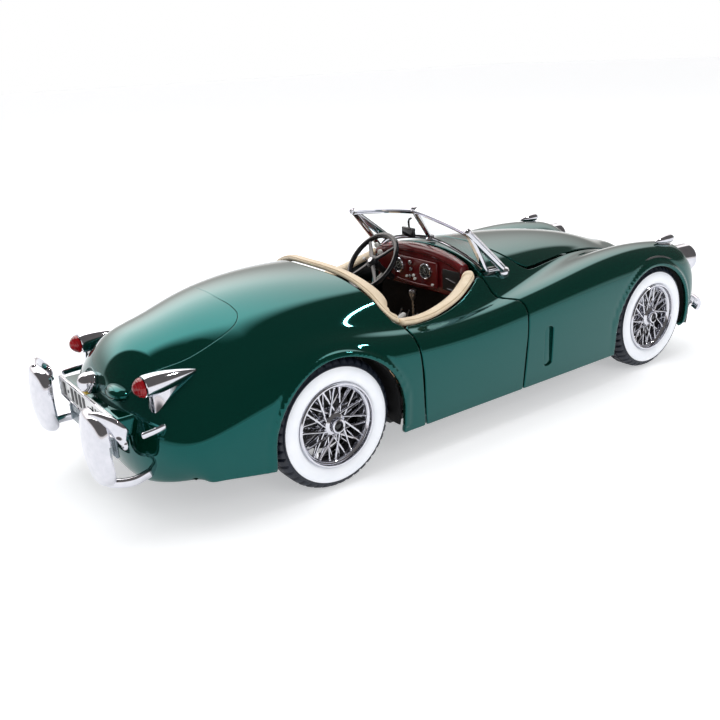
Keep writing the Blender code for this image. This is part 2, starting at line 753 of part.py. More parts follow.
def build_engine():
    block = box(14.5, 43, -5.4, 5.4, 14.9, 23.6, 0.8, 1)
    parts = [block]
    for side in (1, -1):
        parts.append(box(15.5, 42, side * 3.1 - 1.7, side * 3.1 + 1.7, 23.0, 27.2, 0.9, 1))
    parts.append(rod((43, 0, 19), (47, 0, 19), 2.4, 14))
    for i in range(3):
        x = 19 + i * 9
        parts.append(rod((x, -5, 22), (x, -9.4, 23.6), 1.3, 10, 1.8))
    return join(parts)


# ---------------------------------------------------------------- cockpit

def build_tub():
    return join([
        box(-38.0, 1.8, -25.6, 25.6, 10.6, 11.8, 0.2, 1),
        box(-37.4, 1.2, -3.2, 3.2, 11.2, 19.0, 0.8, 2),
        box(0.6, 1.8, -24.4, 24.4, 11.2, 30.0, 0.2, 1),
        box(-38.4, -37.2, -21.0, 21.0, 11.2, 35.0, 0.2, 1)])


def build_seat():
    profile = [(-13.6, 12.2), (-12.8, 15.4), (-14.4, 18.2), (-18, 18.6), (-28.8, 17.0), (-32.6, 31.6),
               (-34.2, 33.6), (-35.9, 33.4), (-36.6, 31.6), (-33.4, 14.6), (-31.5, 12.2)]
    seat = prism_y(profile, 4.3, 20.3)
    bm = bmesh.new()
    bm.from_mesh(seat.data)
    bmesh.ops.bevel(bm, geom=list(bm.edges), offset=0.9, segments=2, profile=0.5, affect="EDGES", clamp_overlap=True)
    bm.to_mesh(seat.data)
    bm.free()
    return seat


def build_dashboard():
    rings = []
    for i in range(15):
        y = -16.9 + i * 16.9 / 7
        top = skin_z(-3.9, y) + 0.25
        rings.append([(-3.9, y, 29.4), (-3.9, y, top - 1.6), (-4.3, y, top - 0.5), (-5.2, y, top),
                      (-6.3, y, top - 0.35), (-7.0, y, top - 1.2), (-6.9, y, top - 2.1), (-6.2, y, top - 2.6),
                      (-6.2, y, 29.4)])
    return loft(rings)


def build_instrument_panel():
    return box(-7.2, -6.55, -8.4, 8.6, 30.8, 37.6, 0.3, 2)


def build_gauge(y):
    return turned([(2.1, 0.0), (2.1, 0.45), (1.75, 0.7), (1.6, 0.4), (0.0, 0.4)], 20, (-7.55, y, 34.9), (-1, 0, 0))


COLUMN_TOP = Vector((-13.6, 9.6, 36.2))
COLUMN_AXIS = Vector((-cos(radians(40)), 0, sin(radians(40))))


def build_column():
    return rod(COLUMN_TOP - COLUMN_AXIS * 1.0, COLUMN_TOP - COLUMN_AXIS * 8.6, 0.85, 12)


def build_steering_wheel():
    """Thin rim, dished hub and four flat spokes about the column axis."""
    ring = [(8.0 + 0.65 * cos(2 * pi * i / 6), 0.6 * sin(2 * pi * i / 6)) for i in range(6)]
    rim = turned(ring, 28, COLUMN_TOP, COLUMN_AXIS, loop=True)
    hub = turned([(1.7, -0.6), (1.9, 0.2), (1.3, 0.9), (0.0, 1.0)], 16, COLUMN_TOP, COLUMN_AXIS)
    parts = [rim, hub]
    side = Vector((0, 1, 0))
    rise = COLUMN_AXIS.cross(side)
    for i in range(4):
        angle = radians(45 + 90 * i)
        out = side * cos(angle) + rise * sin(angle)
        across = COLUMN_AXIS.cross(out)
        ring_a = [COLUMN_TOP + out * 1.2 + across * a + COLUMN_AXIS * b for a, b in
                  ((0.75, -0.25), (0.75, 0.25), (-0.75, 0.25), (-0.75, -0.25))]
        ring_b = [COLUMN_TOP + out * 7.9 + across * a + COLUMN_AXIS * b for a, b in
                  ((0.4, -0.2), (0.4, 0.2), (-0.4, 0.2), (-0.4, -0.2))]
        parts.append(loft([ring_a, ring_b]))
    return join(parts)


def build_gear_lever():
    stick = rod((-8.2, 0, 19.35), (-8.0, 0, 27.4), 0.42, 8)
    knob = turned([(0, -1.25), (0.8, -0.95), (1.12, 0), (0.8, 0.95), (0, 1.25)], 12, (-7.9, 0, 28.2), (0, 0, 1))
    return join([stick, knob])


def build_handbrake():
    foot = box(-23.4, -20.8, -2.6, -1.2, 19.35, 20.4, 0.2, 1)
    stick = rod((-22.4, -1.9, 20.0), (-13.6, -1.9, 23.6), 0.45, 8)
    grip = rod((-17.0, -1.9, 22.2), (-12.4, -1.9, 24.1), 0.75, 10)
    return join([foot, stick, grip])


# ---------------------------------------------------------------- windscreen

SCREEN_BASE = Vector((-1.5, 0, 41.9))
SCREEN_TOP = Vector((-6.9, 0, 49.7))
SCREEN_CORNER = Vector((-9.8, 22.4, 47.3))
SCREEN_NORMAL = (SCREEN_TOP - SCREEN_BASE).cross(SCREEN_CORNER - SCREEN_BASE).normalized()


def on_screen(y, z):
    """Point of the left pane's plane at a width and height."""
    n = SCREEN_NORMAL
    x = SCREEN_BASE.x - (n.y * (y - SCREEN_BASE.y) + n.z * (z - SCREEN_BASE.z)) / n.x
    return Vector((x, y, z))


def screen_foot(y):
    point = on_screen(y, 40.0)
    for _ in range(3):
        point = on_screen(y, skin_z(point.x, y) + 0.95)
    return point


def build_screen_frame():
    """Closed chrome surround of both panes, centre post, raked side posts and their feet."""
    low = [screen_foot(y) for y in (3, 8, 13, 18)]
    outer_low = screen_foot(20.6)
    corner = SCREEN_CORNER
    half = [SCREEN_TOP + Vector((0, 0, 0)), SCREEN_TOP.lerp(corner, 0.5), SCREEN_TOP.lerp(corner, 0.96),
            corner.lerp(outer_low, 0.05), corner.lerp(outer_low, 0.5), corner.lerp(outer_low, 0.94),
            outer_low.lerp(low[-1], 0.3)] + low[::-1] + [screen_foot(0)]
    flip = Vector((1, -1, 1))
    path = half + [p * flip for p in half[-2:0:-1]]
    surround = sweep(path, oval(0.95, 0.9, 6), up=(0.86, 0, 0.5), loop=True)
    parts = [surround]
    on_skin, outward = SKIN_TREE.find_nearest(Vector((4.6, 20.2, skin_z(4.6, 20.2))))[:2]
    foot = on_skin + outward * (1.35 if outward.z > 0 else -1.35)
    for side in (1, -1):
        mirror = Vector((1, side, 1))
        lean = (corner - foot).normalized()
        parts.append(rod((corner + lean * 0.7) * mirror, foot * mirror, 0.8, 8, 0.95))
        parts.append(rod(outer_low.lerp(corner, 0.12) * mirror, (foot + lean * 1.4) * mirror, 0.62, 8))
    parts.append(rod(screen_foot(0) - Vector((0, 0, 0.3)), SCREEN_TOP + Vector((-0.1, 0, 0.75)), 0.75, 8))
    return join(parts)


def build_screen_glass():
    inset = 0.85
    low = [screen_foot(y) for y in (1.1, 4, 8, 12, 16, 19.4)]
    low = [on_screen(p.y, p.z + inset) for p in low]
    corner = on_screen(SCREEN_CORNER.y - 1.45, SCREEN_CORNER.z - 0.85)
    top = on_screen(1.1, SCREEN_TOP.z - 1.1)
    outline = low + [corner, top]
    return loft([[p + SCREEN_NORMAL * d for p in outline] for d in (-0.2, 0.2)])


def build_mirror():
    glass = box(-6.6, -5.7, 0.9, 6.0, 42.4, 45.0, 0.35, 2)
    stem = rod((-6.2, 3.2, 44.7), (-6.6, 3.2, 47.2), 0.35, 8)
    clip = rod((-6.6, 3.2, 47.1), (-6.9, 1.4, 47.6), 0.3, 8)
    return join([glass, stem, clip])


# ---------------------------------------------------------------- lamps and brightwork

def rest_on_skin(shape):
    """Trim a fitting so that it stands just clear of the body surface."""
    return combine(shape, skin_solid(-CLEAR), "DIFFERENCE")


def lamp_front():
    hit = SKIN_TREE.ray_cast(Vector((120, 24.2, 27.0)), Vector((-1, 0, 0)))
    return Vector((hit[0].x, 24.2, 27.0))


LAMP_AXIS = Vector((1, 0, -0.06)).normalized()


def build_headlamp_rim():
    return turned([(4.1, -6.4), (4.1, 0.6), (3.9, 1.3), (3.4, 1.5), (3.1, 1.1), (3.1, -6.4)], 24,
                  lamp_front(), LAMP_AXIS, loop=True)


def build_headlamp_lens():
    return turned([(0, -1.4), (2.75, -1.4), (2.75, 1.0), (2.0, 1.7), (1.0, 2.05), (0, 2.15)], 20,
                  lamp_front(), LAMP_AXIS)


def build_side_lamp():
    centre = Vector((63.6, 25.4, skin_z(63.6, 25.4) + 1.2))
    shell = turned([(0, -4.6), (0.45, -3.4), (0.85, -1.8), (1.15, 0.4), (1.2, 2.0), (0.95, 3.0), (0, 3.7)], 12,
                   centre, (1, 0, 0))
    foot = box(centre.x - 2.2, centre.x + 2.4, centre.y - 0.55, centre.y + 0.55, centre.z - 2.6, centre.z)
    return rest_on_skin(join([shell, foot]))


TAIL_LAMP = Vector((-90.0, 17.9, 29.8))


def build_tail_pod():
    pod = turned([(2.15, 0.0), (2.3, 0.7), (2.25, 2.2), (1.95, 4.6), (1.35, 7.6), (0.7, 10.0), (0, 11.4)], 16,
                 TAIL_LAMP, (1, 0, 0.05))
    plinth = loft([[(back, 17.9 - wide, z), (back, 17.9 + wide, z), (-83.1, 18.6, z), (-83.1, 17.2, z)]
                   for back, wide, z in ((-88.8, 1.3, 29.3), (-89.4, 2.0, 24.0))])
    return rest_on_skin(join([pod, plinth]))


def build_tail_lens():
    return turned([(0, 0), (2.05, 0), (1.95, 0.7), (1.5, 1.5), (0.8, 2.0), (0, 2.15)], 16,
                  TAIL_LAMP + Vector((-CLEAR, 0, 0)), (-1, 0, -0.05))


def build_rear_bumper():
    """Tall upright blade whose top and bottom turn forward to the body as two arms."""
    rows = []
    for i in range(7):
        t = i / 6
        z = 12.4 + 15.2 * t
        bow = sin(pi * t)
        width = 5.7 * max(0.0, 1 - abs(2 * t - 1) ** 3.2) ** 0.45 + 0.4
        x = -100.9 - 1.5 * bow
        y = 16.6
        rows.append([(x + 0.9, y - width, z), (x - 0.2, y - 0.6 * width, z), (x - 0.5, y, z),
                     (x - 0.1, y + 0.6 * width, z), (x + 1.2, y + width, z),
                     (x + 2.1, y + 0.97 * width, z), (x + 0.7, y, z), (x + 1.7, y - 0.97 * width, z)])
    blade = loft(rows)
    top = [(-100.9, 18.8, 26.0), (-99.7, 21.2, 26.2), (-98.2, 22.7, 25.0), (-97.2, 22.9, 23.0), (-96.7, 22.5, 21.6)]
    low = [(-101.0, 17.6, 13.8), (-98.4, 19.8, 12.9), (-95.2, 20.4, 12.6), (-91.8, 19.6, 12.8)]
    upper_arm = sweep(smooth_path(top, 3), oval(1.5, 2.6, 8))
    lower_arm = sweep(smooth_path(low, 3), oval(1.3, 1.9, 8))
    return join([blade, upper_arm, lower_arm])


def build_front_bumper():
    """Slim quarter bumper round the corner of the wing."""
    path = smooth_path([(80.6, 9.5, 13.4), (80.9, 15, 13.6), (80.4, 21, 13.8), (78.8, 26, 13.9), (75.9, 30.0, 13.9)], 2)
    bar = sweep(path, [(-0.7, -1.6), (0.1, -1.9), (0.7, -1.0), (0.9, 0), (0.7, 1.0), (0.1, 1.9), (-0.7, 1.6)])
    guard = turned([(0, -5.4), (0.9, -4.6), (1.4, -2.5), (1.5, 0), (1.4, 2.5), (0.9, 4.6), (0, 5.4)], 12,
                   (80.9, 11.2, 14.2), (0, 0, 1))
    return join([bar, guard])


def build_number_plate():
    return box(-96.5, -95.8, -15.2, 15.2, 19.9, 24.9, 0.25, 1)


def build_plate_bracket():
    return box(-95.8, -95.0, -13.2, 13.2, 14.6, 19.2, 0.25, 1)


def build_plate_lamp():
    dome = turned([(0, 2.3), (1.2, 2.0), (2.0, 1.2), (2.35, 0.0), (2.35, -1.6), (0, -1.6)], 16,
                  (-94.9, 0, 27.0), (-1, 0, 0.35))
    return rest_on_skin(dome)


def build_boot_latch():
    knob = turned([(0, 1.2), (1.0, 1.0), (1.7, 0.2), (1.9, -1.6), (0, -1.6)], 14, (-93.2, -9.2, 27.0), (-1, 0, 0.3))
    moved(knob, scaled_about((-93.2, -9.2, 27.0), (1, 1.9, 0.85)))
    return rest_on_skin(knob)


def build_grille():
    """Oval shield of upright slats, leaning back with the nose."""
    plate = turned([(1, 0), (1, 0.9)], 24, (0, 0, 0), (1, 0, 0))
    moved(plate, Matrix.Diagonal((1, 5.75, 7.3, 1)))
    parts = [plate]
    for i in range(9):
        y = -4.8 + 1.2 * i
        half = 6.9 * sqrt(max(0.0, 1 - (y / 5.6) ** 2))
        parts.append(box(0.6, 1.5, y - 0.28, y + 0.28, -half, half))
    grille = join(parts)
    return moved(grille, Matrix.Translation((72.4, 0, GRILLE_Z)) @ Matrix.Rotation(radians(-14), 4, "Y"))


# ---------------------------------------------------------------- make everything

def pair(build, name, finish_name, origin=(0, 0, 0), **kw):
    """Left part as built and its mirror image on the right."""
    left = tidy(build())
    right = mirrored(left)
    finish(left, name + "_left", finish_name, origin, **kw)
    finish(right, name + "_right", finish_name, (origin[0], -origin[1], origin[2]), **kw)


def single(build, name, finish_name, origin=(0, 0, 0), **kw):
    finish(tidy(build()), name, finish_name, origin, **kw)


def door_trim():
    points = ((-4.9, 20.3), (-6.6, 21.4), (-12.5, 23.6), (-20.5, 25.2), (-27.0, 25.9), (-31.6, 25.9))
    return build_trim(points, 3.0, 1.9)


def rear_trim():
    half = ((-33.5, 25.2), (-35.2, 24.2), (-36.7, 22.4), (-38.2, 18.0), (-39.6, 12), (-41.5, 5), (-42.1, 0))
    points = list(half) + [(x, -y) for x, y in half[-2::-1]]
    return build_trim(points, 3.4, 2.0)


def door_card():
    return box(-30.2, 0.2, 28.7, 29.7, 10.9, 25.0, 0.25, 1)


def centre_on_origin():
    """Put the origin under the middle of the overall length and width."""
    low = 1.0
    high = -1.0
    for obj in bpy.data.objects:
        for v in obj.data.vertices:
            x = obj.location.x + v.co.x
            low = min(low, x)
            high = max(high, x)
    for obj in bpy.data.objects:
        obj.location.x -= 0.5 * (low + high)


door_origin = (DOOR_HINGE[0], DOOR_HINGE[1], 18.0)
single(build_body, "body_shell", "green")
pair(build_door, "door", "green", door_origin)
pair(door_card, "door_card", "tan", door_origin)
pair(door_trim, "door_trim", "cream", door_origin)
single(build_bonnet, "bonnet", "green", (BONNET_HINGE[0], 0, BONNET_HINGE[1]))
single(rear_trim, "cockpit_trim", "cream")
single(build_base_plate, "base_plate", "black")
single(build_tub, "interior_tub", "black")
pair(build_seat, "seat", "tan")
single(build_dashboard, "dashboard", "maroon")
single(build_instrument_panel, "instrument_panel", "maroon")
single(lambda: build_gauge(6.3), "gauge_left", "chrome")
single(lambda: build_gauge(-4.6), "gauge_right", "chrome")
single(build_column, "steering_column", "black")
single(build_steering_wheel, "steering_wheel", "black", tuple(COLUMN_TOP))
single(build_gear_lever, "gear_lever", "steel")
single(build_handbrake, "handbrake_lever", "white")
single(build_screen_frame, "windscreen_frame", "chrome")
pair(build_screen_glass, "windscreen_glass", "glass")
single(build_mirror, "rear_view_mirror", "black")
single(build_engine, "engine_block", "alloy")
single(build_grille, "radiator_grille", "chrome")
pair(build_headlamp_rim, "headlamp_rim", "chrome")
pair(build_headlamp_lens, "headlamp_lens", "clear_lens")
pair(build_side_lamp, "side_lamp", "chrome")
pair(build_tail_pod, "tail_lamp_pod", "chrome")
pair(build_tail_lens, "tail_lamp_lens", "red_lens")
pair(build_rear_bumper, "rear_bumper", "chrome")
pair(build_front_bumper, "front_bumper", "chrome")
single(build_number_plate, "number_plate", "white")
single(build_plate_bracket, "plate_bracket", "steel")
single(build_plate_lamp, "plate_lamp", "chrome")
single(build_boot_latch, "boot_latch", "green")
pair(lambda: build_tyre(AXLE_X, 1), "front_tyre", "rubber", (AXLE_X, KINGPIN_Y + 5, TYRE_R))
pair(lambda: build_wire_wheel(AXLE_X, 1), "front_wheel", "chrome", (AXLE_X, KINGPIN_Y + 5, TYRE_R))
pair(lambda: build_tyre(-AXLE_X, 1), "rear_tyre", "rubber", (-AXLE_X, KINGPIN_Y + 5, TYRE_R))
pair(lambda: build_wire_wheel(-AXLE_X, 1), "rear_wheel", "chrome", (-AXLE_X, KINGPIN_Y + 5, TYRE_R))
single(build_rear_axle, "rear_axle", "steel", (-AXLE_X, 0, TYRE_R))
pair(build_knuckle, "front_knuckle", "black", (AXLE_X, KINGPIN_Y, TYRE_R))
single(build_tie_rod, "tie_rod", "black", (AXLE_X - STEER_ARM, 0, 13.3))
centre_on_origin()
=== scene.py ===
"""Looks for the die-cast open two-seater collector car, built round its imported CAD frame.

Lengths are written in millimetres in the axle frame (X forward from the middle of the
wheelbase, Y to the car's left, Z up from the ground) and stored in metres in the row frame.
"""

from math import cos, exp, pi, radians, sin, sqrt

import bmesh
import bpy
import numpy as np
from mathutils import Matrix, Vector
from mathutils.bvhtree import BVHTree


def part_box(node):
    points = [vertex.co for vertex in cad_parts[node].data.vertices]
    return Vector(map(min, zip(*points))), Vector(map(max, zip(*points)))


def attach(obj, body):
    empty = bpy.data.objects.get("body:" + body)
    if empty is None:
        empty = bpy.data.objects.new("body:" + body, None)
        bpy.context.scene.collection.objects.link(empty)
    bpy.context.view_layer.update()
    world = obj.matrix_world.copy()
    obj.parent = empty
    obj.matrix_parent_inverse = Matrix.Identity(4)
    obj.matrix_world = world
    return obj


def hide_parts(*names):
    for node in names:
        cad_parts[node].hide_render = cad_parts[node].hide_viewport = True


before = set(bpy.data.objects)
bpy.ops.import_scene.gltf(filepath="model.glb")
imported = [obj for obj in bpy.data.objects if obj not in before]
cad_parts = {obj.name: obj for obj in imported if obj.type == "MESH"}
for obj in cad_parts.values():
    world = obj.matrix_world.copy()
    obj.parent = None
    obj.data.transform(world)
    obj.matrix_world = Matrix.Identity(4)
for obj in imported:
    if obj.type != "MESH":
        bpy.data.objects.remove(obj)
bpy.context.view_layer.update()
MM = 0.001


def vec(x, y, z):
    return Vector((x, y, z))


SIDES = ("left", "right")
# Half the wheelbase.
AXLE_X = 54.0
AXLE_LOW, AXLE_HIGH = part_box("rear_axle")
# From the axle frame to the row frame, along X.
SHIFT = 500.0 * (AXLE_LOW.x + AXLE_HIGH.x) + AXLE_X
TYRE_RADIUS = 14.6
AXLES = (("front", AXLE_X, "wheel_front_{}"), ("rear", -AXLE_X, "axle_rear"))
# Height of the wheel arches' centres, the gap round opening panels and the radii of panel edges.
ARCH_Z = 13.6
SHUT_GAP = 0.42
LIP = 0.28
BOOT_LIP = 0.16
SCREEN_BASE = vec(-1.5, 0, 41.9)
SCREEN_TOP = vec(-6.9, 0, 49.7)
SCREEN_CORNER = vec(-9.8, 22.4, 47.3)
SCREEN_NORMAL = (SCREEN_TOP - SCREEN_BASE).cross(SCREEN_CORNER - SCREEN_BASE).normalized()

# Body cage: lines along the car with half width and height at the stations, then the
# furthest point at the nose and tail and the lower lip at each end.
STATIONS = (62, 50, 34, 17, 0, -17, -33, -46, -58, -70, -80)
CAGE = (
    dict(y=(0, 0, 0, 0, 0, 0, 0, 0, 0, 0, 0),
         z=(31.6, 36.0, 39.1, 40.6, 41.2, 41.3, 41.9, 43.0, 42.9, 41.3, 37.9),
         nose=(76.5, 0, 15.5), nose_lip=(73, 0, 8.5), tail=(-95, 0, 19), tail_lip=(-91.5, 0, 8.5)),
    dict(y=(8, 10.5, 13, 16.5, 20, 21.6, 21.8, 21, 19.5, 17.2, 14.6),
         z=(29.4, 33.4, 36.0, 37.0, 37.4, 37.6, 37.8, 38.0, 37.3, 35.3, 31.6),
         nose=(76, 5.5, 15.5), nose_lip=(73, 6, 8.5), tail=(-95, 9.5, 17), tail_lip=(-91.5, 8, 8.5)),
    dict(y=(11.8, 13.2, 15.6, 19.6, 23.6, 25, 25.2, 24.8, 23.7, 22, 19.8),
         z=(27.8, 31.4, 32.8, 32.0, 30.9, 30.2, 30.6, 33.3, 34.2, 32.4, 28.2),
         nose=(75.5, 10.5, 14.5), nose_lip=(72.5, 12, 8.5), tail=(-94.4, 13, 14), tail_lip=(-91.3, 12, 8.8)),
    dict(y=(20, 20.8, 22.2, 24.6, 26.8, 27.4, 27.4, 27.2, 26.5, 25.2, 23.2),
         z=(34.6, 35.8, 35.2, 32.8, 30.5, 28.9, 29.8, 32.1, 32.6, 30.5, 26.3),
         nose=(78.2, 18, 17), nose_lip=(73, 17, 8.5), tail=(-93.4, 16.8, 12.5), tail_lip=(-91, 15.5, 9.2)),
    dict(y=(26.6, 27.4, 28.2, 29.2, 29.7, 29.9, 30, 30, 29.4, 28.1, 26.2),
         z=(34.0, 35.0, 34.2, 31.8, 29.5, 28.0, 28.7, 30.6, 31.0, 28.7, 24.3),
         nose=(77.4, 24, 17), nose_lip=(72.5, 22, 8.5), tail=(-91.8, 20, 11.5), tail_lip=(-90.2, 18.6, 9.8)),
    dict(y=(30.5, 31, 31.3, 31.5, 31.6, 31.7, 31.9, 32.1, 31.8, 30.7, 28.8),
         z=(30.0, 30.8, 30.2, 28.4, 26.8, 25.6, 26.2, 27.4, 27.2, 24.4, 20.8),
         nose=(75.4, 28.6, 15), nose_lip=(71.6, 26, 8.5), tail=(-89.4, 23, 11.6), tail_lip=(-88.6, 21.8, 10.4)),
    dict(y=(30.6, 30.7, 30.8, 30.9, 30.9, 30.9, 31, 31.1, 31, 29.8, 27.8),
         z=(8.3, 8.2, 8.2, 8.2, 8.2, 8.2, 8.2, 8.3, 8.5, 9.2, 10.4),
         nose=(66.8, 30.45, 8.35), nose_lip=(67.8, 30.0, 8.4), tail=(-83.4, 26.0, 10.8),
         tail_lip=(-84.6, 25.0, 11.1)),
)
COCKPIT = ((-3.3, 0), (-3.3, 12), (-3.5, 18.6), (-6.2, 21.2), (-12.5, 23.6), (-20.5, 25.2),
           (-29.0, 26.0), (-33.6, 25.4), (-36.6, 22.6), (-38.2, 18.0), (-39.6, 12), (-41.6, 5), (-42.2, 0))
BONNET = ((6.4, 0), (6.9, 8), (8.2, 13.6), (10.6, 17.2), (13.4, 18.8), (16.4, 18.8), (25, 17.0),
          (34, 15.0), (46, 12.6), (58, 10.0), (65, 8.2), (68, 6.8), (69.4, 4.2), (69.8, 0))
BOOT = ((-67.5, 0), (-67.2, 6), (-66.2, 11), (-66.6, 14), (-70.0, 15.6), (-78, 15.2), (-86, 13.6), (-97, 11.5))
DOOR_FRONT_Y = (14, 19.3, 24.5, 28.4, 30, 40)
DOOR_FRONT_X = (-3.6, -3.5, -1.8, 2.0, 2.3, 2.3)
DOOR_REAR_X = -32.6


# ---------------------------------------------------------------- materials

def feed(tree, node, **inputs):
    """Give a node's inputs a constant or another node's output."""
    for name, value in inputs.items():
        socket = node.inputs[name.replace("_", " ")]
        if isinstance(value, bpy.types.NodeSocket):
            tree.links.new(value, socket)
        else:
            socket.default_value = value


def add_node(tree, kind, **inputs):
    node = tree.nodes.new("ShaderNode" + kind)
    feed(tree, node, **inputs)
    return node


def surface(name, dark, light, rough=(0.3, 0.4), metallic=0.0, scale=900.0, bump=0.0, bump_scale=None,
            kind="noise", **sockets):
    """Procedural material: noise drives the colour between two tones, the roughness and the bump."""
    mat = bpy.data.materials.new(name)
    mat.use_nodes = True
    tree = mat.node_tree
    low, high = 0.3, 0.7
    place = add_node(tree, "TexCoord").outputs["Object"]
    noise = add_node(tree, "TexNoise", Vector=place, Scale=scale, Detail=4.0).outputs["Fac"]
    ramp = add_node(tree, "ValToRGB", Fac=noise)
    for stop, position, tone in zip(ramp.color_ramp.elements, (low, high), (dark, light)):
        stop.position = position
        stop.color = (*tone, 1)
    spread = add_node(tree, "MapRange", Value=noise, From_Min=low, From_Max=high, To_Min=rough[0], To_Max=rough[1])
    shader = tree.nodes["Principled BSDF"]
    feed(tree, shader, Base_Color=ramp.outputs["Color"], Roughness=spread.outputs["Result"], Metallic=metallic,
         **sockets)
    if bump:
        grain = {"Vector": place, "Scale": bump_scale or scale}
        if kind == "cells":
            height = add_node(tree, "TexVoronoi", **grain).outputs["Distance"]
        else:
            height = add_node(tree, "TexNoise", Detail=6.0, **grain).outputs["Fac"]
        raised = add_node(tree, "Bump", Height=height, Strength=bump, Distance=0.0002)
        feed(tree, shader, Normal=raised.outputs["Normal"])
    return mat


PAINT = surface("paint_green", (0.0006, 0.0170, 0.0100), (0.0007, 0.0180, 0.0106), (0.035, 0.042), scale=700,
                IOR=1.68, Specular_Tint=(0.06, 1.0, 1.0, 1), Coat_Weight=0.20, Coat_Roughness=0.02)
PAINT_DARK = surface("paint_shadow", (0.001, 0.012, 0.009), (0.002, 0.016, 0.012), (0.4, 0.5), scale=900)
CHROME = surface("chrome", (0.60, 0.61, 0.66), (0.68, 0.68, 0.73), (0.03, 0.08), 1.0, scale=700, bump=0.04,
                 bump_scale=260)
RUBBER = surface("tyre_black", (0.004, 0.007, 0.015), (0.011, 0.016, 0.030), (0.42, 0.6), scale=800, bump=0.25,
                 bump_scale=2500)
WHITEWALL = surface("tyre_white", (0.88, 0.91, 0.97), (0.94, 0.96, 1.0), (0.35, 0.5), scale=260, bump=0.1,
                    bump_scale=1500)
BLACK = surface("black_satin", (0.006, 0.006, 0.007), (0.014, 0.014, 0.015), (0.4, 0.55), scale=700, bump=0.15,
                bump_scale=1800)
BLACK_GLOSS = surface("black_gloss", (0.003, 0.004, 0.006), (0.008, 0.009, 0.012), (0.1, 0.18), scale=500)
CREAM = surface("trim_cream", (0.74, 0.60, 0.42), (0.83, 0.70, 0.52), (0.38, 0.5), scale=420, bump=0.25,
                bump_scale=2600, kind="cells")
CREAM_SEAM = surface("trim_seam", (0.46, 0.34, 0.20), (0.56, 0.43, 0.27), (0.5, 0.6), scale=900)
TAN = surface("seat_tan", (0.42, 0.29, 0.17), (0.52, 0.37, 0.23), (0.42, 0.55), scale=380, bump=0.3,
              bump_scale=2400, kind="cells")
BURGUNDY = surface("dash_burgundy", (0.085, 0.004, 0.006), (0.13, 0.008, 0.010), (0.12, 0.20), scale=480, bump=0.05,
                   bump_scale=2000)
CARPET = surface("floor_dark", (0.008, 0.007, 0.007), (0.022, 0.018, 0.016), (0.85, 0.95), scale=2600, bump=0.6,
                 bump_scale=3200)
STEEL = surface("steel", (0.42, 0.42, 0.44), (0.56, 0.56, 0.58), (0.2, 0.34), 1.0, scale=1200, bump=0.1)
ALLOY = surface("cast_alloy", (0.45, 0.46, 0.47), (0.60, 0.60, 0.62), (0.35, 0.5), 1.0, scale=700, bump=0.4,
                bump_scale=1400)
IVORY = surface("white_gloss", (0.76, 0.75, 0.72), (0.86, 0.85, 0.82), (0.15, 0.25), scale=500)
RED_LENS = surface("lens_red", (0.30, 0.004, 0.008), (0.42, 0.008, 0.014), (0.03, 0.08), scale=500,
                   Transmission_Weight=0.35, IOR=1.5)
CLEAR_LENS = surface("lens_clear", (0.86, 0.90, 0.92), (0.93, 0.95, 0.96), (0.02, 0.06), scale=500,
                     Transmission_Weight=0.9, IOR=1.45)
GLASS = surface("screen_clear", (0.93, 0.96, 0.96), (0.97, 0.99, 0.99), (0.01, 0.03), scale=300,
                Transmission_Weight=1.0, IOR=1.12)
PLATE = surface("plate_white", (0.84, 0.85, 0.86), (0.90, 0.91, 0.92), (0.2, 0.3), scale=500)
PANEL_GREY = surface("panel_grey", (0.20, 0.25, 0.29), (0.28, 0.33, 0.37), (0.2, 0.35), 0.4, scale=600)
MARKS = surface("marks_black", (0.006, 0.006, 0.007), (0.012, 0.012, 0.013), (0.3, 0.4), scale=900)
BRASS = surface("small_brass", (0.60, 0.42, 0.06), (0.75, 0.55, 0.10), (0.2, 0.3), 0.6, scale=700)


# ---------------------------------------------------------------- building pieces

def piece(name, parts, replaces=(), slot=None, body="chassis", angle=35):
    """One object from parts of (points, faces, material), in millimetres of the axle frame."""
    points = []
    faces = []
    slots = []
    materials = []
    for verts, polys, mat in parts:
        base = len(points)
        points.extend(((p[0] + SHIFT) * MM, p[1] * MM, p[2] * MM) for p in verts)
        if mat not in materials:
            materials.append(mat)
        faces.extend([base + k for k in poly] for poly in polys)
        slots.extend([materials.index(mat)] * len(polys))
    mesh = bpy.data.meshes.new(name)
    mesh.from_pydata(points, [], faces)
    for mat in materials:
        mesh.materials.append(mat)
    mesh.polygons.foreach_set("material_index", slots)
    mesh.polygons.foreach_set("use_smooth", [True] * len(faces))
    mesh.update()
    recalculate(mesh)
    mesh.set_sharp_from_angle(angle=radians(angle))
    return placed(name, mesh, body, replaces)


def linked(name, data):
    obj = bpy.data.objects.new(name, data)
    bpy.context.scene.collection.objects.link(obj)
    return obj


def placed(name, mesh, body, replaces):
    """Put a finished mesh in the scene on its body, in place of the frame's nodes it stands for."""
    obj = linked(name, mesh)
    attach(obj, body)
    if replaces:
        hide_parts(*replaces)
    return obj


def recalculate(mesh):
    bm = bmesh.new()
    bm.from_mesh(mesh)
    bmesh.ops.recalc_face_normals(bm, faces=bm.faces)
    bm.to_mesh(mesh)
    bm.free()


def loft(rings, mat, ring_loop=False):
    """Skin through rings that have the same number of points; each ring is a closed loop."""
    count = len(rings[0])
    verts = [tuple(p) for ring in rings for p in ring]
    faces = []
    last = len(rings) if ring_loop else len(rings) - 1
    for i in range(last):
        a = i * count
        b = ((i + 1) % len(rings)) * count
        for j in range(count):
            k = (j + 1) % count
            faces.append((a + j, a + k, b + k, b + j))
    if not ring_loop:
        faces.append(tuple(range(count - 1, -1, -1)))
        faces.append(tuple(range((len(rings) - 1) * count, len(rings) * count)))
    return verts, faces, mat


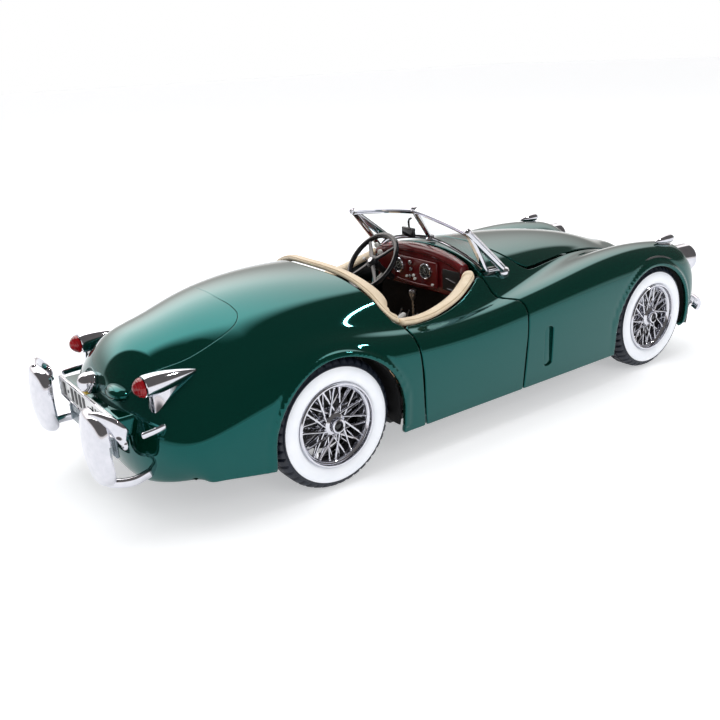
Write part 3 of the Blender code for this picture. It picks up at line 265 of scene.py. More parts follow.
def turned(profile, segments, centre, axis, mat, loop=False, shape=None):
    """Solid of revolution; the profile holds (radius, distance along the axis)."""
    centre = Vector(centre)
    axis = Vector(axis).normalized()
    side = vec(0, 0, 1) if abs(axis.z) < 0.9 else vec(1, 0, 0)
    side = (side - axis * side.dot(axis)).normalized()
    other = axis.cross(side)
    verts = []
    rows = []
    for n, (radius, along) in enumerate(profile):
        if radius < 1e-6:
            rows.append([len(verts)])
            verts.append(tuple(centre + axis * along))
            continue
        row = []
        for i in range(segments):
            angle = 2 * pi * i / segments
            r = shape(n, i, radius) if shape else radius
            row.append(len(verts))
            verts.append(tuple(centre + axis * along + (side * cos(angle) + other * sin(angle)) * r))
        rows.append(row)
    pairs = list(zip(rows, rows[1:]))
    if loop:
        pairs.append((rows[-1], rows[0]))
    faces = []
    for low, high in pairs:
        for i in range(segments):
            k = (i + 1) % segments
            if len(low) == 1 and len(high) == 1:
                continue
            if len(low) == 1:
                faces.append((low[0], high[k], high[i]))
            elif len(high) == 1:
                faces.append((low[i], low[k], high[0]))
            else:
                faces.append((low[i], low[k], high[k], high[i]))
    if not loop:
        for row in (rows[0], rows[-1]):
            if len(row) > 1:
                faces.append(tuple(row))
    return verts, faces, mat


def curve_through(points, per_span=8, loop=False):
    """Points of a smooth curve through the given points."""
    pts = [Vector(p) for p in points]
    if loop:
        ends = [pts[-1]] + pts + [pts[0], pts[1]]
    else:
        ends = [2 * pts[0] - pts[1]] + pts + [2 * pts[-1] - pts[-2]]
    out = []
    for i in range(1, len(ends) - 2):
        a, b, c, d = ends[i - 1:i + 3]
        for k in range(per_span):
            t = k / per_span
            out.append(0.5 * (2 * b + (c - a) * t + (2 * a - 5 * b + 4 * c - d) * t * t
                              + (3 * b - a - 3 * c + d) * t ** 3))
    if not loop:
        out.append(pts[-1])
    return out


def sweep(path, section, mat, up=(0, 0, 1), loop=False, rounded=0):
    """Sweep a section (across, up) along a path; a function of 0..1 may give the section."""
    count = len(path)
    rings = []
    for i, point in enumerate(path):
        before = path[(i - 1) % count] if loop or i > 0 else path[i]
        after = path[(i + 1) % count] if loop or i < count - 1 else path[i]
        along = (Vector(after) - Vector(before)).normalized()
        across = along.cross(Vector(up)).normalized()
        rise = across.cross(along).normalized()
        t = i / max(1, count - 1)
        shape = section(t) if callable(section) else section
        rings.append([Vector(point) + across * a + rise * r for a, r in shape])
    if rounded and not loop:
        rings = round_ends(rings, rounded)
    return loft(rings, mat, ring_loop=loop)


def round_ends(rings, reach):
    """Extra shrinking rings that round off both ends of a swept form."""
    def middle(ring):
        return sum((Vector(p) for p in ring), Vector()) / len(ring)

    def cap(ring, towards):
        centre = middle(ring)
        out = (centre - middle(towards)).normalized()
        made = []
        for angle in (25, 50, 70, 84):
            a = radians(angle)
            made.append([centre + out * reach * sin(a) + (Vector(p) - centre) * cos(a) for p in ring])
        return made

    start = cap(rings[0], rings[1])[::-1]
    end = cap(rings[-1], rings[-2])
    return start + rings + end


def oval(width, height, count=16, power=1.0):
    ring = []
    for i in range(count):
        a = 2 * pi * i / count
        c, s = cos(a), sin(a)
        ring.append((0.5 * width * abs(c) ** power * (1 if c > 0 else -1),
                     0.5 * height * abs(s) ** power * (1 if s > 0 else -1)))
    return ring


def rod(start, end, radius, mat, segments=12):
    """Round bar with softly rounded ends."""
    start = Vector(start)
    end = Vector(end)
    length = (end - start).length
    lip = min(0.3 * radius, 0.2 * length)
    profile = [(0, 0), (radius - lip, 0), (radius, lip), (radius, length - lip), (radius - lip, length),
               (0, length)]
    return turned(profile, segments, start, end - start, mat)


def slab(x0, x1, y0, y1, z0, z1, mat, bevel=0.3, segments=3):
    """Block with rounded edges."""
    bm = bmesh.new()
    bmesh.ops.create_cube(bm, size=1.0)
    for v in bm.verts:
        v.co = vec(x0 if v.co.x < 0 else x1, y0 if v.co.y < 0 else y1, z0 if v.co.z < 0 else z1)
    bmesh.ops.bevel(bm, geom=list(bm.edges), offset=bevel, segments=segments, profile=0.5, affect="EDGES",
                    clamp_overlap=True)
    verts = [tuple(v.co) for v in bm.verts]
    faces = [tuple(v.index for v in f.verts) for f in bm.faces]
    bm.free()
    return verts, faces, mat


def flipped(part):
    verts, faces, mat = part
    return [(p[0], -p[1], p[2]) for p in verts], [tuple(reversed(f)) for f in faces], mat


def both(name, parts, replaces=(), slot=None, body="chassis", **kw):
    """A piece on the left and its mirror image on the right; {} in names becomes the side."""
    made = []
    for side in SIDES:
        shown = parts if side == "left" else [flipped(p) for p in parts]
        made.append(piece(name.format(side), shown, tuple(r.format(side) for r in replaces), slot,
                          body.format(side), **kw))
    return made


def repaint(mat, *names):
    for name in names:
        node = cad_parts[name]
        node.data.materials.clear()
        node.data.materials.append(mat)


# ---------------------------------------------------------------- body surface

def wrap_points(start, reach, lip):
    points = []
    for angle in (64, 34, 8):
        out = cos(radians(angle)) ** 0.8
        rise = sin(radians(angle)) ** 0.8
        points.append((start[0] + (reach[0] - start[0]) * out,
                       reach[1] + (start[1] - reach[1]) * rise ** 1.3,
                       reach[2] + (start[2] - reach[2]) * rise))
    points.append((0.75 * reach[0] + 0.25 * lip[0], 0.6 * reach[1] + 0.4 * lip[1], 0.35 * reach[2] + 0.65 * lip[2]))
    points.append(lip)
    return points


def padded_cage():
    lines = []
    for spec in CAGE:
        top = list(zip(STATIONS, spec["y"], spec["z"]))
        line = wrap_points(top[0], spec["nose"], spec["nose_lip"])[::-1] + top
        lines.append(np.array(line + wrap_points(top[-1], spec["tail"], spec["tail_lip"]), float))
    centre, shoulder, valley, crest_in, crest_out, flank, sill = lines
    crown = np.stack([0.7 * centre[:, 0] + 0.3 * shoulder[:, 0], 0.5 * (centre[:, 1] + shoulder[:, 1]),
                      0.82 * centre[:, 2] + 0.18 * shoulder[:, 2]], 1)
    middle = flank * 0.58 + sill * 0.42 + np.array((0, 0.25, 0))
    lower = flank * 0.20 + sill * 0.80 + np.array((0, 0.15, 0))
    lines = [centre, crown, shoulder, valley, crest_in, crest_out, flank, middle, lower, sill]
    lines = [crown * np.array((1, -1, 1))] + lines + [2 * sill - lower]
    grid = np.stack(lines)
    first = 2 * grid[:, :1] - grid[:, 1:2]
    last = 2 * grid[:, -1:] - grid[:, -2:-1]
    return np.concatenate([first, grid, last], 1)


PADDED = padded_cage()
LINE_COUNT = PADDED.shape[0] - 2
STATION_COUNT = PADDED.shape[1] - 2


def spline_matrix(values, count):
    """Weights of every control line for each parameter value."""
    made = np.zeros((len(values), count + 2))
    for row, t in enumerate(values):
        i = min(max(int(t), 0), count - 2)
        u = t - i
        made[row, i:i + 4] = ((1 - u) ** 3 / 6, (3 * u ** 3 - 6 * u * u + 4) / 6,
                              (-3 * u ** 3 + 3 * u * u + 3 * u + 1) / 6, u ** 3 / 6)
    return made


ALONG = np.linspace(0, STATION_COUNT - 1, 281)
ACROSS = np.linspace(0, LINE_COUNT - 1, 127)


def body_grid():
    """Points of the skin, right sill over the top to left sill, nose to tail."""
    half = np.einsum("va,sb,abk->svk", spline_matrix(ACROSS, LINE_COUNT), spline_matrix(ALONG, STATION_COUNT),
                     PADDED)
    other = half[:, :0:-1] * np.array((1, -1, 1))
    return np.concatenate([other, half], 1)


def grid_normals(points):
    along = np.gradient(points, axis=0)
    across = np.gradient(points, axis=1)
    normals = np.cross(across, along)
    return normals / np.maximum(np.linalg.norm(normals, axis=2, keepdims=True), 1e-9)


def outline_depth(points, outline):
    """Distance inside a closed plan outline; negative outside."""
    poly = np.array(outline)
    nxt = np.roll(poly, -1, axis=0)
    p = points[..., :2].reshape(-1, 2)
    best = np.full(len(p), 1e9)
    inside = np.zeros(len(p), bool)
    for a, b in zip(poly, nxt):
        edge = b - a
        t = np.clip(((p - a) @ edge) / max(edge @ edge, 1e-12), 0, 1)
        best = np.minimum(best, np.linalg.norm(p - (a + t[:, None] * edge), axis=1))
        spans = (a[1] > p[:, 1]) != (b[1] > p[:, 1])
        with np.errstate(divide="ignore", invalid="ignore"):
            cross_x = (b[0] - a[0]) * (p[:, 1] - a[1]) / (b[1] - a[1]) + a[0]
        inside ^= spans & (p[:, 0] < cross_x)
    return np.where(inside, best, -best).reshape(points.shape[:2])


def smooth_outline(half):
    path = curve_through([(x, y, 0) for x, y in half], 8)
    left = [(p.x, max(0.0, p.y)) for p in path]
    return left + [(x, -y) for x, y in left[-2:0:-1]]


GRID = body_grid()
NORMALS = grid_normals(GRID)
X, Y, Z = GRID[..., 0], np.abs(GRID[..., 1]), GRID[..., 2]
UPPER = Z > 24.0
# Depth given to points that an opening can't reach.
FAR_OUT = -50


def arch_depth(centre_x, half_length, height):
    """Distance inside a wheel arch opening."""
    dx = (X - centre_x) / half_length
    dz = np.maximum(Z - ARCH_Z, 0) / height
    depth = (1 - np.sqrt(dx * dx + dz * dz)) * 0.5 * (half_length + height)
    return np.where(Y > 24, depth, FAR_OUT)


FRONT_ARCH = arch_depth(AXLE_X - 1.2, 16.5, 15.8)
REAR_ARCH = arch_depth(-AXLE_X + 0.9, 16.2, 16.0)
ARCHES = np.maximum(FRONT_ARCH, REAR_ARCH)

# A rolled bead stands proud just outside each wheel arch.
BEAD = 0.34 * np.exp(-((-ARCHES - 0.55) / 0.42) ** 2) - 0.10 * np.exp(-((-ARCHES - 1.7) / 0.5) ** 2)
GRID = GRID + NORMALS * np.where(Z > 9.5, BEAD, BEAD * 0.3)[..., None]
NORMALS = grid_normals(GRID)
COCKPIT_IN = np.where(UPPER, outline_depth(GRID, smooth_outline(COCKPIT)), FAR_OUT)
BONNET_IN = np.where(UPPER, outline_depth(GRID, smooth_outline(BONNET)), FAR_OUT)
BOOT_LINE = curve_through([(x, y, 0) for x, y in BOOT], 6)
BOOT_OUTLINE = [(p.x, max(0, p.y)) for p in BOOT_LINE] + [(p.x, -max(0, p.y)) for p in BOOT_LINE[::-1]]
BOOT_IN = np.where(UPPER, outline_depth(GRID, BOOT_OUTLINE), FAR_OUT)
BOOT_IN = np.minimum(BOOT_IN, np.where(X < -80, Z - 25.6, 50))


def door_depth():
    lowered = np.maximum(28.0 - Z, 0)
    slope = np.gradient(np.interp(np.linspace(14, 40, 200), DOOR_FRONT_Y, DOOR_FRONT_X), 26 / 199)
    steep = np.interp(Y, np.linspace(14, 40, 200), np.sqrt(1 + slope ** 2))
    front = (np.interp(Y, DOOR_FRONT_Y, DOOR_FRONT_X) - 0.055 * lowered - X) / steep
    rear = X - (DOOR_REAR_X + 0.085 * lowered)
    corner = 1.2
    a = np.maximum(corner - front, 0)
    b = np.maximum(corner - rear, 0)
    return np.minimum(np.minimum(front, rear), corner - np.sqrt(a * a + b * b) + 0 * X)


DOOR_IN = np.where((Y > 12) & (X < 8) & (X > -40), door_depth(), FAR_OUT)


def rounded_slot(x0, x1, z0, z1, radius):
    dx = np.abs(X - 0.5 * (x0 + x1)) - (0.5 * (x1 - x0) - radius)
    dz = np.abs(Z - 0.5 * (z0 + z1)) - (0.5 * (z1 - z0) - radius)
    out = np.sqrt(np.maximum(dx, 0) ** 2 + np.maximum(dz, 0) ** 2)
    return radius - out - np.minimum(np.maximum(dx, dz), 0)


VENT_IN = np.where(Y > 28, rounded_slot(7.8, 10.8, 12.2, 22.4, 0.9), FAR_OUT)
LAMP_Z = 27.6 - 0.06 * (X - 67)
LAMP_IN = np.where(X > 62, 4.45 - np.sqrt((Y - 24.2) ** 2 + (Z - LAMP_Z) ** 2), FAR_OUT)
GRILLE_IN = np.where(X > 62, (1 - np.sqrt((Y / 6.2) ** 2 + ((Z - 18.8) / 7.7) ** 2)) * 6.5, FAR_OUT)


def panel(name, keep, body, replaces=(), side=None, lip=LIP):
    """Closed panel: the part of the skin where keep is positive, with rounded edges and an inside."""
    depth = 1.0
    field = keep.copy()
    if side:
        sign = 1 if side == "left" else -1
        field = np.where(GRID[..., 1] * sign > 0, field, FAR_OUT)
    index = {}
    points = []
    normals = []
    faces = []

    def corner(i, j):
        key = (i, j)
        if key not in index:
            index[key] = len(points)
            points.append(GRID[i, j])
            normals.append(NORMALS[i, j])
        return index[key]

    def crossing(a, b):
        key = (a, b) if a < b else (b, a)
        if key not in index:
            fa, fb = field[key[0]], field[key[1]]
            t = min(0.98, max(0.02, fa / (fa - fb)))
            index[key] = len(points)
            points.append(GRID[key[0]] * (1 - t) + GRID[key[1]] * t)
            n = NORMALS[key[0]] * (1 - t) + NORMALS[key[1]] * t
            normals.append(n / np.linalg.norm(n))
        return index[key]

    inside = field > 0
    whole = inside[:-1, :-1] & inside[1:, :-1] & inside[:-1, 1:] & inside[1:, 1:]
    some = inside[:-1, :-1] | inside[1:, :-1] | inside[:-1, 1:] | inside[1:, 1:]
    for i, j in zip(*np.nonzero(some)):
        ring = ((i, j), (i, j + 1), (i + 1, j + 1), (i + 1, j))
        if whole[i, j]:
            faces.append([corner(*c) for c in ring])
            continue
        poly = []
        for a, b in zip(ring, ring[1:] + ring[:1]):
            if inside[a]:
                poly.append(corner(*a))
            if inside[a] != inside[b]:
                poly.append(crossing(a, b))
        if len(poly) > 2:
            faces.append(poly)

    seen = dict.fromkeys(e for face in faces for e in zip(face, face[1:] + face[:1]))
    edges = [(a, b) for a, b in seen if (b, a) not in seen]
    points = np.array(points)
    normals = np.array(normals)
    outward = np.zeros_like(points)
    for a, b in edges:
        along = points[b] - points[a]
        length = np.linalg.norm(along)
        if length < 1e-9:
            continue
        out = np.cross(along / length, normals[a])
        outward[a] += out
        outward[b] += out
    border = sorted({k for e in edges for k in e})
    count = len(points)
    low = {}
    base = 2 * count
    steps = ((0.38, 0.08), (0.71, 0.29), (0.92, 0.62), (1.0, 1.0))
    rim_points = []
    rim_normals = []
    for n, k in enumerate(border):
        out = outward[k]
        length = np.linalg.norm(out)
        out = out / length if length > 1e-9 else out
        for across, down in steps:
            rim_points.append(points[k] + out * lip * across - normals[k] * lip * down)
            mixed = out * across + normals[k] * (1 - down)
            rim_normals.append(mixed / max(np.linalg.norm(mixed), 1e-9))
        rim_points.append(points[k] + out * lip - normals[k] * (depth - 0.02))
        rim_normals.append(out)
        low[k] = base + n * (len(steps) + 1)
    back = [[k + count for k in reversed(face)] for face in faces]
    rim = []
    for a, b in edges:
        chain_a = [a] + [low[a] + m for m in range(len(steps) + 1)] + [a + count]
        chain_b = [b] + [low[b] + m for m in range(len(steps) + 1)] + [b + count]
        for m in range(len(chain_a) - 1):
            rim.append([chain_b[m], chain_a[m], chain_a[m + 1], chain_b[m + 1]])
    verts = np.concatenate([points, points - normals * depth, np.array(rim_points)])
    vertex_normals = np.concatenate([normals, -normals, np.array(rim_normals)])
    return panel_object(name, verts, faces + rim, back, vertex_normals, body, replaces)


def panel_object(name, verts, faces, back, normals, body, replaces):
    mesh = bpy.data.meshes.new(name)
    moved = (verts + np.array((SHIFT, 0, 0))) * MM
    mesh.from_pydata([tuple(p) for p in moved], [], [tuple(f) for f in faces + back])
    mesh.materials.append(PAINT)
    mesh.materials.append(PAINT_DARK)
    mesh.polygons.foreach_set("material_index", [0] * len(faces) + [1] * len(back))
    mesh.polygons.foreach_set("use_smooth", [True] * len(mesh.polygons))
    mesh.update()
    mesh.normals_split_custom_set_from_vertices([tuple(n) for n in normals])
    return placed(name, mesh, body, replaces)


BODY_KEEP = -np.maximum.reduce([COCKPIT_IN + LIP, BONNET_IN + LIP, DOOR_IN + LIP, ARCHES + 0.1, BOOT_IN + BOOT_LIP,
                                VENT_IN + LIP, LAMP_IN + LIP, GRILLE_IN + LIP])
panel("body_main", BODY_KEEP, "chassis", ("body_shell",))
for SIDE in SIDES:
    panel("door_" + SIDE + "_skin", np.minimum(DOOR_IN - SHUT_GAP - LIP, -COCKPIT_IN - LIP), "door_%s_panel" % SIDE,
          ("door_" + SIDE,), side=SIDE)
panel("bonnet_skin", BONNET_IN - SHUT_GAP - LIP, "bonnet_panel", ("bonnet",))
panel("boot_lid", BOOT_IN - BOOT_LIP, "chassis", lip=BOOT_LIP)


def skin_tree():
    rows, cols = GRID.shape[:2]
    verts = [Vector(p) for p in GRID.reshape(-1, 3)]
    faces = [(i * cols + j, i * cols + j + 1, (i + 1) * cols + j + 1, (i + 1) * cols + j)
             for i in range(rows - 1) for j in range(cols - 1)]
    return BVHTree.FromPolygons(verts, faces)


SKIN_TREE = skin_tree()


def skin_z(x, y):
    hit = SKIN_TREE.ray_cast(vec(x, y, 80), vec(0, 0, -1))
    return hit[0].z if hit[0] else 0.0


def inner_panels():
    """Recess behind each side vent, dark walls inside the wheel arches, plinth behind the plate."""
    both("vent_recess_{}", [slab(7.2, 11.4, 30.05, 30.72, 11.6, 23.0, PAINT, 0.2)])
    plinth = slab(-95.4, -90.6, -15.8, 15.8, 19.7, 23.9, PAINT, 0.7, 4)
    piece("plate_plinth", [plinth], slot="paint")
    for label, x, reach, inner in (("rear", -AXLE_X + 0.6, 16.6, 20.9), ("front", AXLE_X - 1.2, 18.6, 16.0)):
        rings = []
        for i in range(41):
            a = radians(-14 + 208 * i / 40)
            ring = []
            for y, r in ((inner, 0.0), (inner, reach), (29.6, reach - 0.2), (29.6, reach + 0.2),
                         (inner - 0.5, reach + 0.4), (inner - 0.5, 0.0)):
                ring.append((x + r * cos(a), y, ARCH_Z + r * sin(a) * 0.98))
            rings.append(ring)
        both(label + "_arch_liner_{}", [loft(rings, BLACK)])


def build_tyres():
    outer = [(9.35, 29.15), (9.55, 29.55), (9.95, 29.82), (10.6, 30.04), (11.3, 30.12), (11.95, 30.04),
             (12.5, 29.82), (12.8, 29.6)]
    side = [(12.8, 29.6), (12.95, 29.68), (13.1, 29.6), (13.15, 29.35), (13.3, 29.2)]
    shoulder = [(13.3, 29.2), (13.75, 29.1), (14.1, 28.75), (14.4, 28.2), (14.58, 27.75), (14.58, 27.3)]
    middle = [(14.15, 27.2), (14.15, 26.95), (14.6, 26.85), (14.6, 26.1), (14.6, 25.3), (14.15, 25.2),
              (14.15, 24.95)]
    far = [(14.58, 24.85), (14.58, 24.3), (14.3, 23.5), (13.7, 22.6), (12.6, 21.95), (11.2, 21.85), (9.9, 22.2),
           (9.35, 22.8)]
    blocks = 44
    per = 5
    black = side + shoulder[1:] + middle + far

    def tread(n, i, radius):
        """Cross grooves: deep ones on both shoulders, shallower staggered ones between them."""
        if (5 <= n <= 9 or 17 <= n <= 19) and i % per == 0:
            return radius - 0.55
        if 12 <= n <= 14 and (i + 2) % per == 0:
            return radius - 0.4
        return radius

    for where, x, body in AXLES:
        centre = (x, 0, TYRE_RADIUS)
        cover = turned(black + [(9.2, 24.0), (9.2, 28.0), (9.35, 29.1)], blocks * per, centre, (0, 1, 0), RUBBER,
                       shape=tread)
        wall = turned(outer + [(12.75, 29.3), (11.0, 29.4), (9.4, 29.0)], 128, centre, (0, 1, 0), WHITEWALL,
                      loop=True)
        both(where + "_tyre_{}_carcass", [open_ended(cover), wall], (where + "_tyre_{}",), "tyre_rubber", body,
             angle=38)


def open_ended(part):
    """Close a turned ring by joining its first and last rows instead of capping them."""
    verts, faces, mat = part
    first, last = [f for f in faces if len(f) > 4]
    kept = [f for f in faces if len(f) <= 4]
    for i in range(len(first)):
        k = (i + 1) % len(first)
        kept.append((last[i], last[k], first[k], first[i]))
    return verts, kept, mat


def build_wheels():
    rim = [(9.35, 29.2), (9.42, 29.7), (9.2, 30.0), (8.92, 29.96), (8.78, 29.62), (8.74, 29.2), (8.5, 28.98),
           (8.36, 29.05), (8.22, 28.9), (8.12, 28.3), (7.95, 27.6), (7.85, 26.4), (7.85, 24.4), (8.1, 23.2),
           (8.6, 22.6), (9.2, 22.2), (9.5, 22.3), (9.52, 24.0), (9.45, 28.4)]
    hub = [(0, 25.0), (2.9, 25.0), (2.9, 25.8), (2.2, 26.3), (2.0, 27.2), (2.15, 27.9), (2.5, 28.3), (2.45, 28.75),
           (2.0, 29.05), (1.75, 29.2), (1.7, 29.9), (1.55, 30.25), (1.25, 30.35), (1.1, 30.2), (1.05, 29.5),
           (0, 29.5)]
    cap = [(0, 29.4), (1.02, 29.4), (1.0, 29.7), (0.75, 29.98), (0.4, 30.12), (0, 30.16)]
    drum = [(0, 23.4), (6.4, 23.4), (6.8, 23.7), (6.9, 24.4), (6.6, 24.9), (5.2, 25.05), (4.8, 24.8), (3.0, 24.9),
            (0, 24.9)]
    for where, x, body in AXLES:
        centre = vec(x, 0, TYRE_RADIUS)
        axis = (0, 1, 0)
        parts = [turned(rim, 112, centre, axis, CHROME, loop=True), turned(hub, 48, centre, axis, CHROME)]
        for count, lean, near, far, r0, thick in ((12, 40, 28.45, 28.5, 2.2, 0.24), (10, 30, 26.4, 27.1, 2.3, 0.2)):
            for i in range(count):
                for way in (1, -1):
                    a = 2 * pi * i / count + (0.13 if count == 12 else 0.4)
                    b = a + way * radians(lean)
                    a2 = a + way * radians(2.5)
                    start = centre + vec(r0 * cos(a2), near - 0.1 * way, r0 * sin(a2))
                    end = centre + vec(8.25 * cos(b), far - 0.1 * way, 8.25 * sin(b))
                    parts.append(rod(start, end, thick, CHROME, 8))
                    parts.append(rod(start.lerp(end, 0.93), end, thick * 1.5, CHROME, 8))
        both(where + "_wheel_{}_wires", parts, (where + "_wheel_{}",), "chrome", body)
        both(where + "_wheel_{}_cap", [turned(cap, 32, centre, axis, BLACK_GLOSS)], (), "black_gloss", body)
        both(where + "_brake_drum_{}", [turned(drum, 64, centre, axis, BLACK)], (), "black_metal", body)


inner_panels()
build_tyres()
build_wheels()


# ---------------------------------------------------------------- lamps, bumpers and tail fittings

TAIL_LAMP = vec(-90.0, 17.9, 29.8)
PLATE_Z = 22.4


def build_tail():
    axis = vec(1, 0, 0.05).normalized()
    pod = [(0, 0.2), (1.9, 0.2), (2.05, -0.1), (2.2, 0.0), (2.28, 0.3), (2.3, 1.0), (2.27, 2.0), (2.15, 3.4),
           (1.92, 4.9), (1.6, 6.5), (1.2, 8.2), (0.75, 9.8), (0.35, 10.9), (0, 11.4)]
    foot = []
    for t in np.linspace(0, 1, 9):
        z = 29.6 - 5.2 * t
        back = -88.9 - 0.7 * t
        front = -82.2 - 1.2 * t
        wide = 1.15 + 0.9 * t ** 1.6
        middle = 0.5 * (back + front)
        half = 0.5 * (front - back)
        foot.append([(middle + half * cos(a), 17.9 + wide * sin(a) * (1.0 - 0.45 * cos(a)), z)
                     for a in np.linspace(0, 2 * pi, 29)[:-1]])
    parts = [turned(pod, 48, TAIL_LAMP, axis, CHROME), loft(foot, CHROME)]
    both("tail_pod_{}", parts, ("tail_lamp_pod_{}",), "chrome")
    lens = [(0, 0.0), (1.85, 0.0), (2.0, 0.15), (2.0, 0.4), (1.88, 0.8), (1.78, 0.86), (1.66, 1.15), (1.52, 1.22),
            (1.35, 1.5), (1.2, 1.56), (0.95, 1.8), (0.5, 2.02), (0, 2.1)]
    both("tail_lens_{}", [turned(lens, 48, TAIL_LAMP - axis * 0.2, -axis, RED_LENS)],
         ("tail_lamp_lens_{}",), "red_lens")

    dome_axis = vec(-1, 0, 0.35).normalized()
    centre = vec(-94.9, 0, 27.0)
    dome = [(0, -1.5), (2.2, -1.5), (2.35, -1.2), (2.35, -0.2), (2.25, 0.1), (2.1, 0.15), (2.05, 0.7), (1.8, 1.3),
            (1.35, 1.8), (0.7, 2.12), (0, 2.25)]
    window = slab(-96.1, -94.6, -1.1, 1.1, 24.75, 25.2, BRASS, 0.15)
    piece("plate_lamp_dome", [turned(dome, 40, centre, dome_axis, CHROME)], ("plate_lamp",), "chrome")
    piece("plate_lamp_window", [window])
    boss = [(0, -1.5), (1.9, -1.5), (1.92, -0.6), (1.8, 0.1), (1.5, 0.6), (1.35, 0.55), (1.2, 0.75), (0.7, 1.05),
            (0, 1.15)]
    verts, faces, mat = turned(boss, 40, (-93.2, -9.2, 27.0), (-1, 0, 0.3), PAINT)
    verts = [(p[0], -9.2 + (p[1] + 9.2) * 1.85, 27.0 + (p[2] - 27.0) * 0.85) for p in verts]
    piece("tail_boss", [(verts, faces, mat)], ("boot_latch",), "paint")


def build_plate():
    plate = slab(-96.4, -95.8, -15.1, 15.1, 20.0, 24.8, PLATE, 0.25)
    loop = [(-96.42, y, z) for y, z in ((-14.95, 20.2), (0, 20.1), (14.95, 20.2), (15.05, PLATE_Z), (14.95, 24.6),
                                        (0, 24.7), (-14.95, 24.6), (-15.05, PLATE_Z))]
    frame_path = []
    for a, b in zip(loop, loop[1:] + loop[:1]):
        frame_path += [Vector(a).lerp(Vector(b), t) for t in (0.04, 0.5, 0.96)]
    edge = sweep(frame_path, oval(0.42, 0.42, 10), CHROME, up=(-1, 0, 0), loop=True)
    marks = []
    for y, width, tall in ((12.4, 1.5, 3.0), (9.9, 0.7, 0.7), (7.4, 1.5, 3.0), (5.0, 1.5, 3.0), (2.6, 1.5, 3.0),
                           (0.2, 1.5, 3.0), (-2.3, 0.7, 0.7), (-5.2, 0.8, 2.4), (-6.8, 0.8, 2.4), (-8.4, 0.8, 2.4)):
        marks.append(slab(-96.5, -96.3, y - 0.5 * width, y + 0.5 * width,
                          PLATE_Z - 0.5 * tall, PLATE_Z + 0.5 * tall, MARKS, 0.1))
    screws = [turned([(0, 0), (0.35, 0), (0.3, 0.2), (0, 0.28)], 16, (-96.35, -11.6, PLATE_Z), (-1, 0, 0), CHROME)]
    piece("plate_board", [plate, edge] + marks + screws, ("number_plate",), "white_gloss")
    ribs = [rod((-95.85, y, 15.1), (-95.85, y, 18.6), 0.22, PANEL_GREY, 8) for y in (-12.3, 12.3)]
    bar = rod((-95.85, -12.3, 16.9), (-95.85, 12.3, 16.9), 0.2, PANEL_GREY, 8)
    panel_part = slab(-95.8, -95.0, -13.2, 13.2, 14.6, 19.2, PANEL_GREY, 0.35, 4)
    piece("plate_panel", [panel_part, bar] + ribs, ("plate_bracket",), "steel")


def build_rear_bumpers():
    """Tall domed blade with a rolled edge; its arms turn forward to the tail."""
    middle = vec(-102.3, 16.6, 20.0)
    wide, tall = 6.1, 7.6
    steps = [0.12, 0.25, 0.38, 0.5, 0.62, 0.72, 0.8, 0.87, 0.93, 0.97, 1.0]
    around = 72

    def outline(a):
        c, sn = cos(a), sin(a)
        power = 2 / 3.4
        return (wide * abs(c) ** power * (1 if c > 0 else -1), tall * abs(sn) ** power * (1 if sn > 0 else -1))

    verts = [tuple(middle + vec(-0.25, 0, 0))]
    faces = []
    rows = []
    for r in steps:
        row = []
        for i in range(around):
            y, z = outline(2 * pi * i / around)
            roll = max(0.0, (r - 0.82) / 0.18)
            edge = 1.4 * (1 - sqrt(max(0, 1 - roll * roll)))
            x = -0.25 + 1.1 * (z * r / tall) ** 2 + 1.3 * (y * r / wide) ** 2 + edge
            shrink = r if r < 0.93 else 0.93 + (r - 0.93) * 0.6
            row.append(len(verts))
            verts.append(tuple(middle + vec(x, y * shrink, z * shrink)))
        rows.append(row)
    back = len(verts)
    verts.append(tuple(middle + vec(0.45, 0, 0)))
    back_rows = []
    for row in rows:
        made = []
        for k in row:
            p = Vector(verts[k])
            centre = vec(p.x, middle.y, middle.z)
            inward = (centre - p)
            inward = inward.normalized() * 0.25 if inward.length > 1e-6 else inward
            made.append(len(verts))
            verts.append(tuple(p + inward + vec(0.45, 0, 0)))
        back_rows.append(made)
    for i in range(around):
        k = (i + 1) % around
        faces.append((0, rows[0][i], rows[0][k]))
        faces.append((back, back_rows[0][k], back_rows[0][i]))
        for low, high in zip(rows, rows[1:]):
            faces.append((low[i], high[i], high[k], low[k]))
        for low, high in zip(back_rows, back_rows[1:]):
            faces.append((low[k], high[k], high[i], low[i]))
        faces.append((rows[-1][i], back_rows[-1][i], back_rows[-1][k], rows[-1][k]))
    blade = (verts, faces, CHROME)
    top = curve_through([(-100.6, 17.6, 26.3), (-99.8, 20.0, 26.6), (-98.6, 22.0, 26.0), (-97.5, 23.0, 24.4),
                         (-96.9, 22.9, 22.8), (-96.7, 22.5, 21.6)], 8)
    low = curve_through([(-100.9, 17.0, 13.7), (-99.0, 19.2, 12.9), (-95.6, 20.4, 12.6), (-91.8, 19.6, 12.8)], 8)
    parts = [blade, sweep(top, oval(1.4, 2.9, 24, power=0.8), CHROME, rounded=0.7),
             sweep(low, oval(1.2, 2.0, 20, power=0.8), CHROME, rounded=0.5)]
    both("rear_bumper_{}_blade", parts, ("rear_bumper_{}",), "chrome")
    tab = curve_through([(-93.2, 22.9, 22.3), (-91.0, 22.9, 22.5), (-88.8, 22.7, 22.7)], 6)
    both("tail_corner_tab_{}", [sweep(tab, oval(0.6, 1.25, 14, power=0.8), CHROME, rounded=0.4)], slot="chrome")


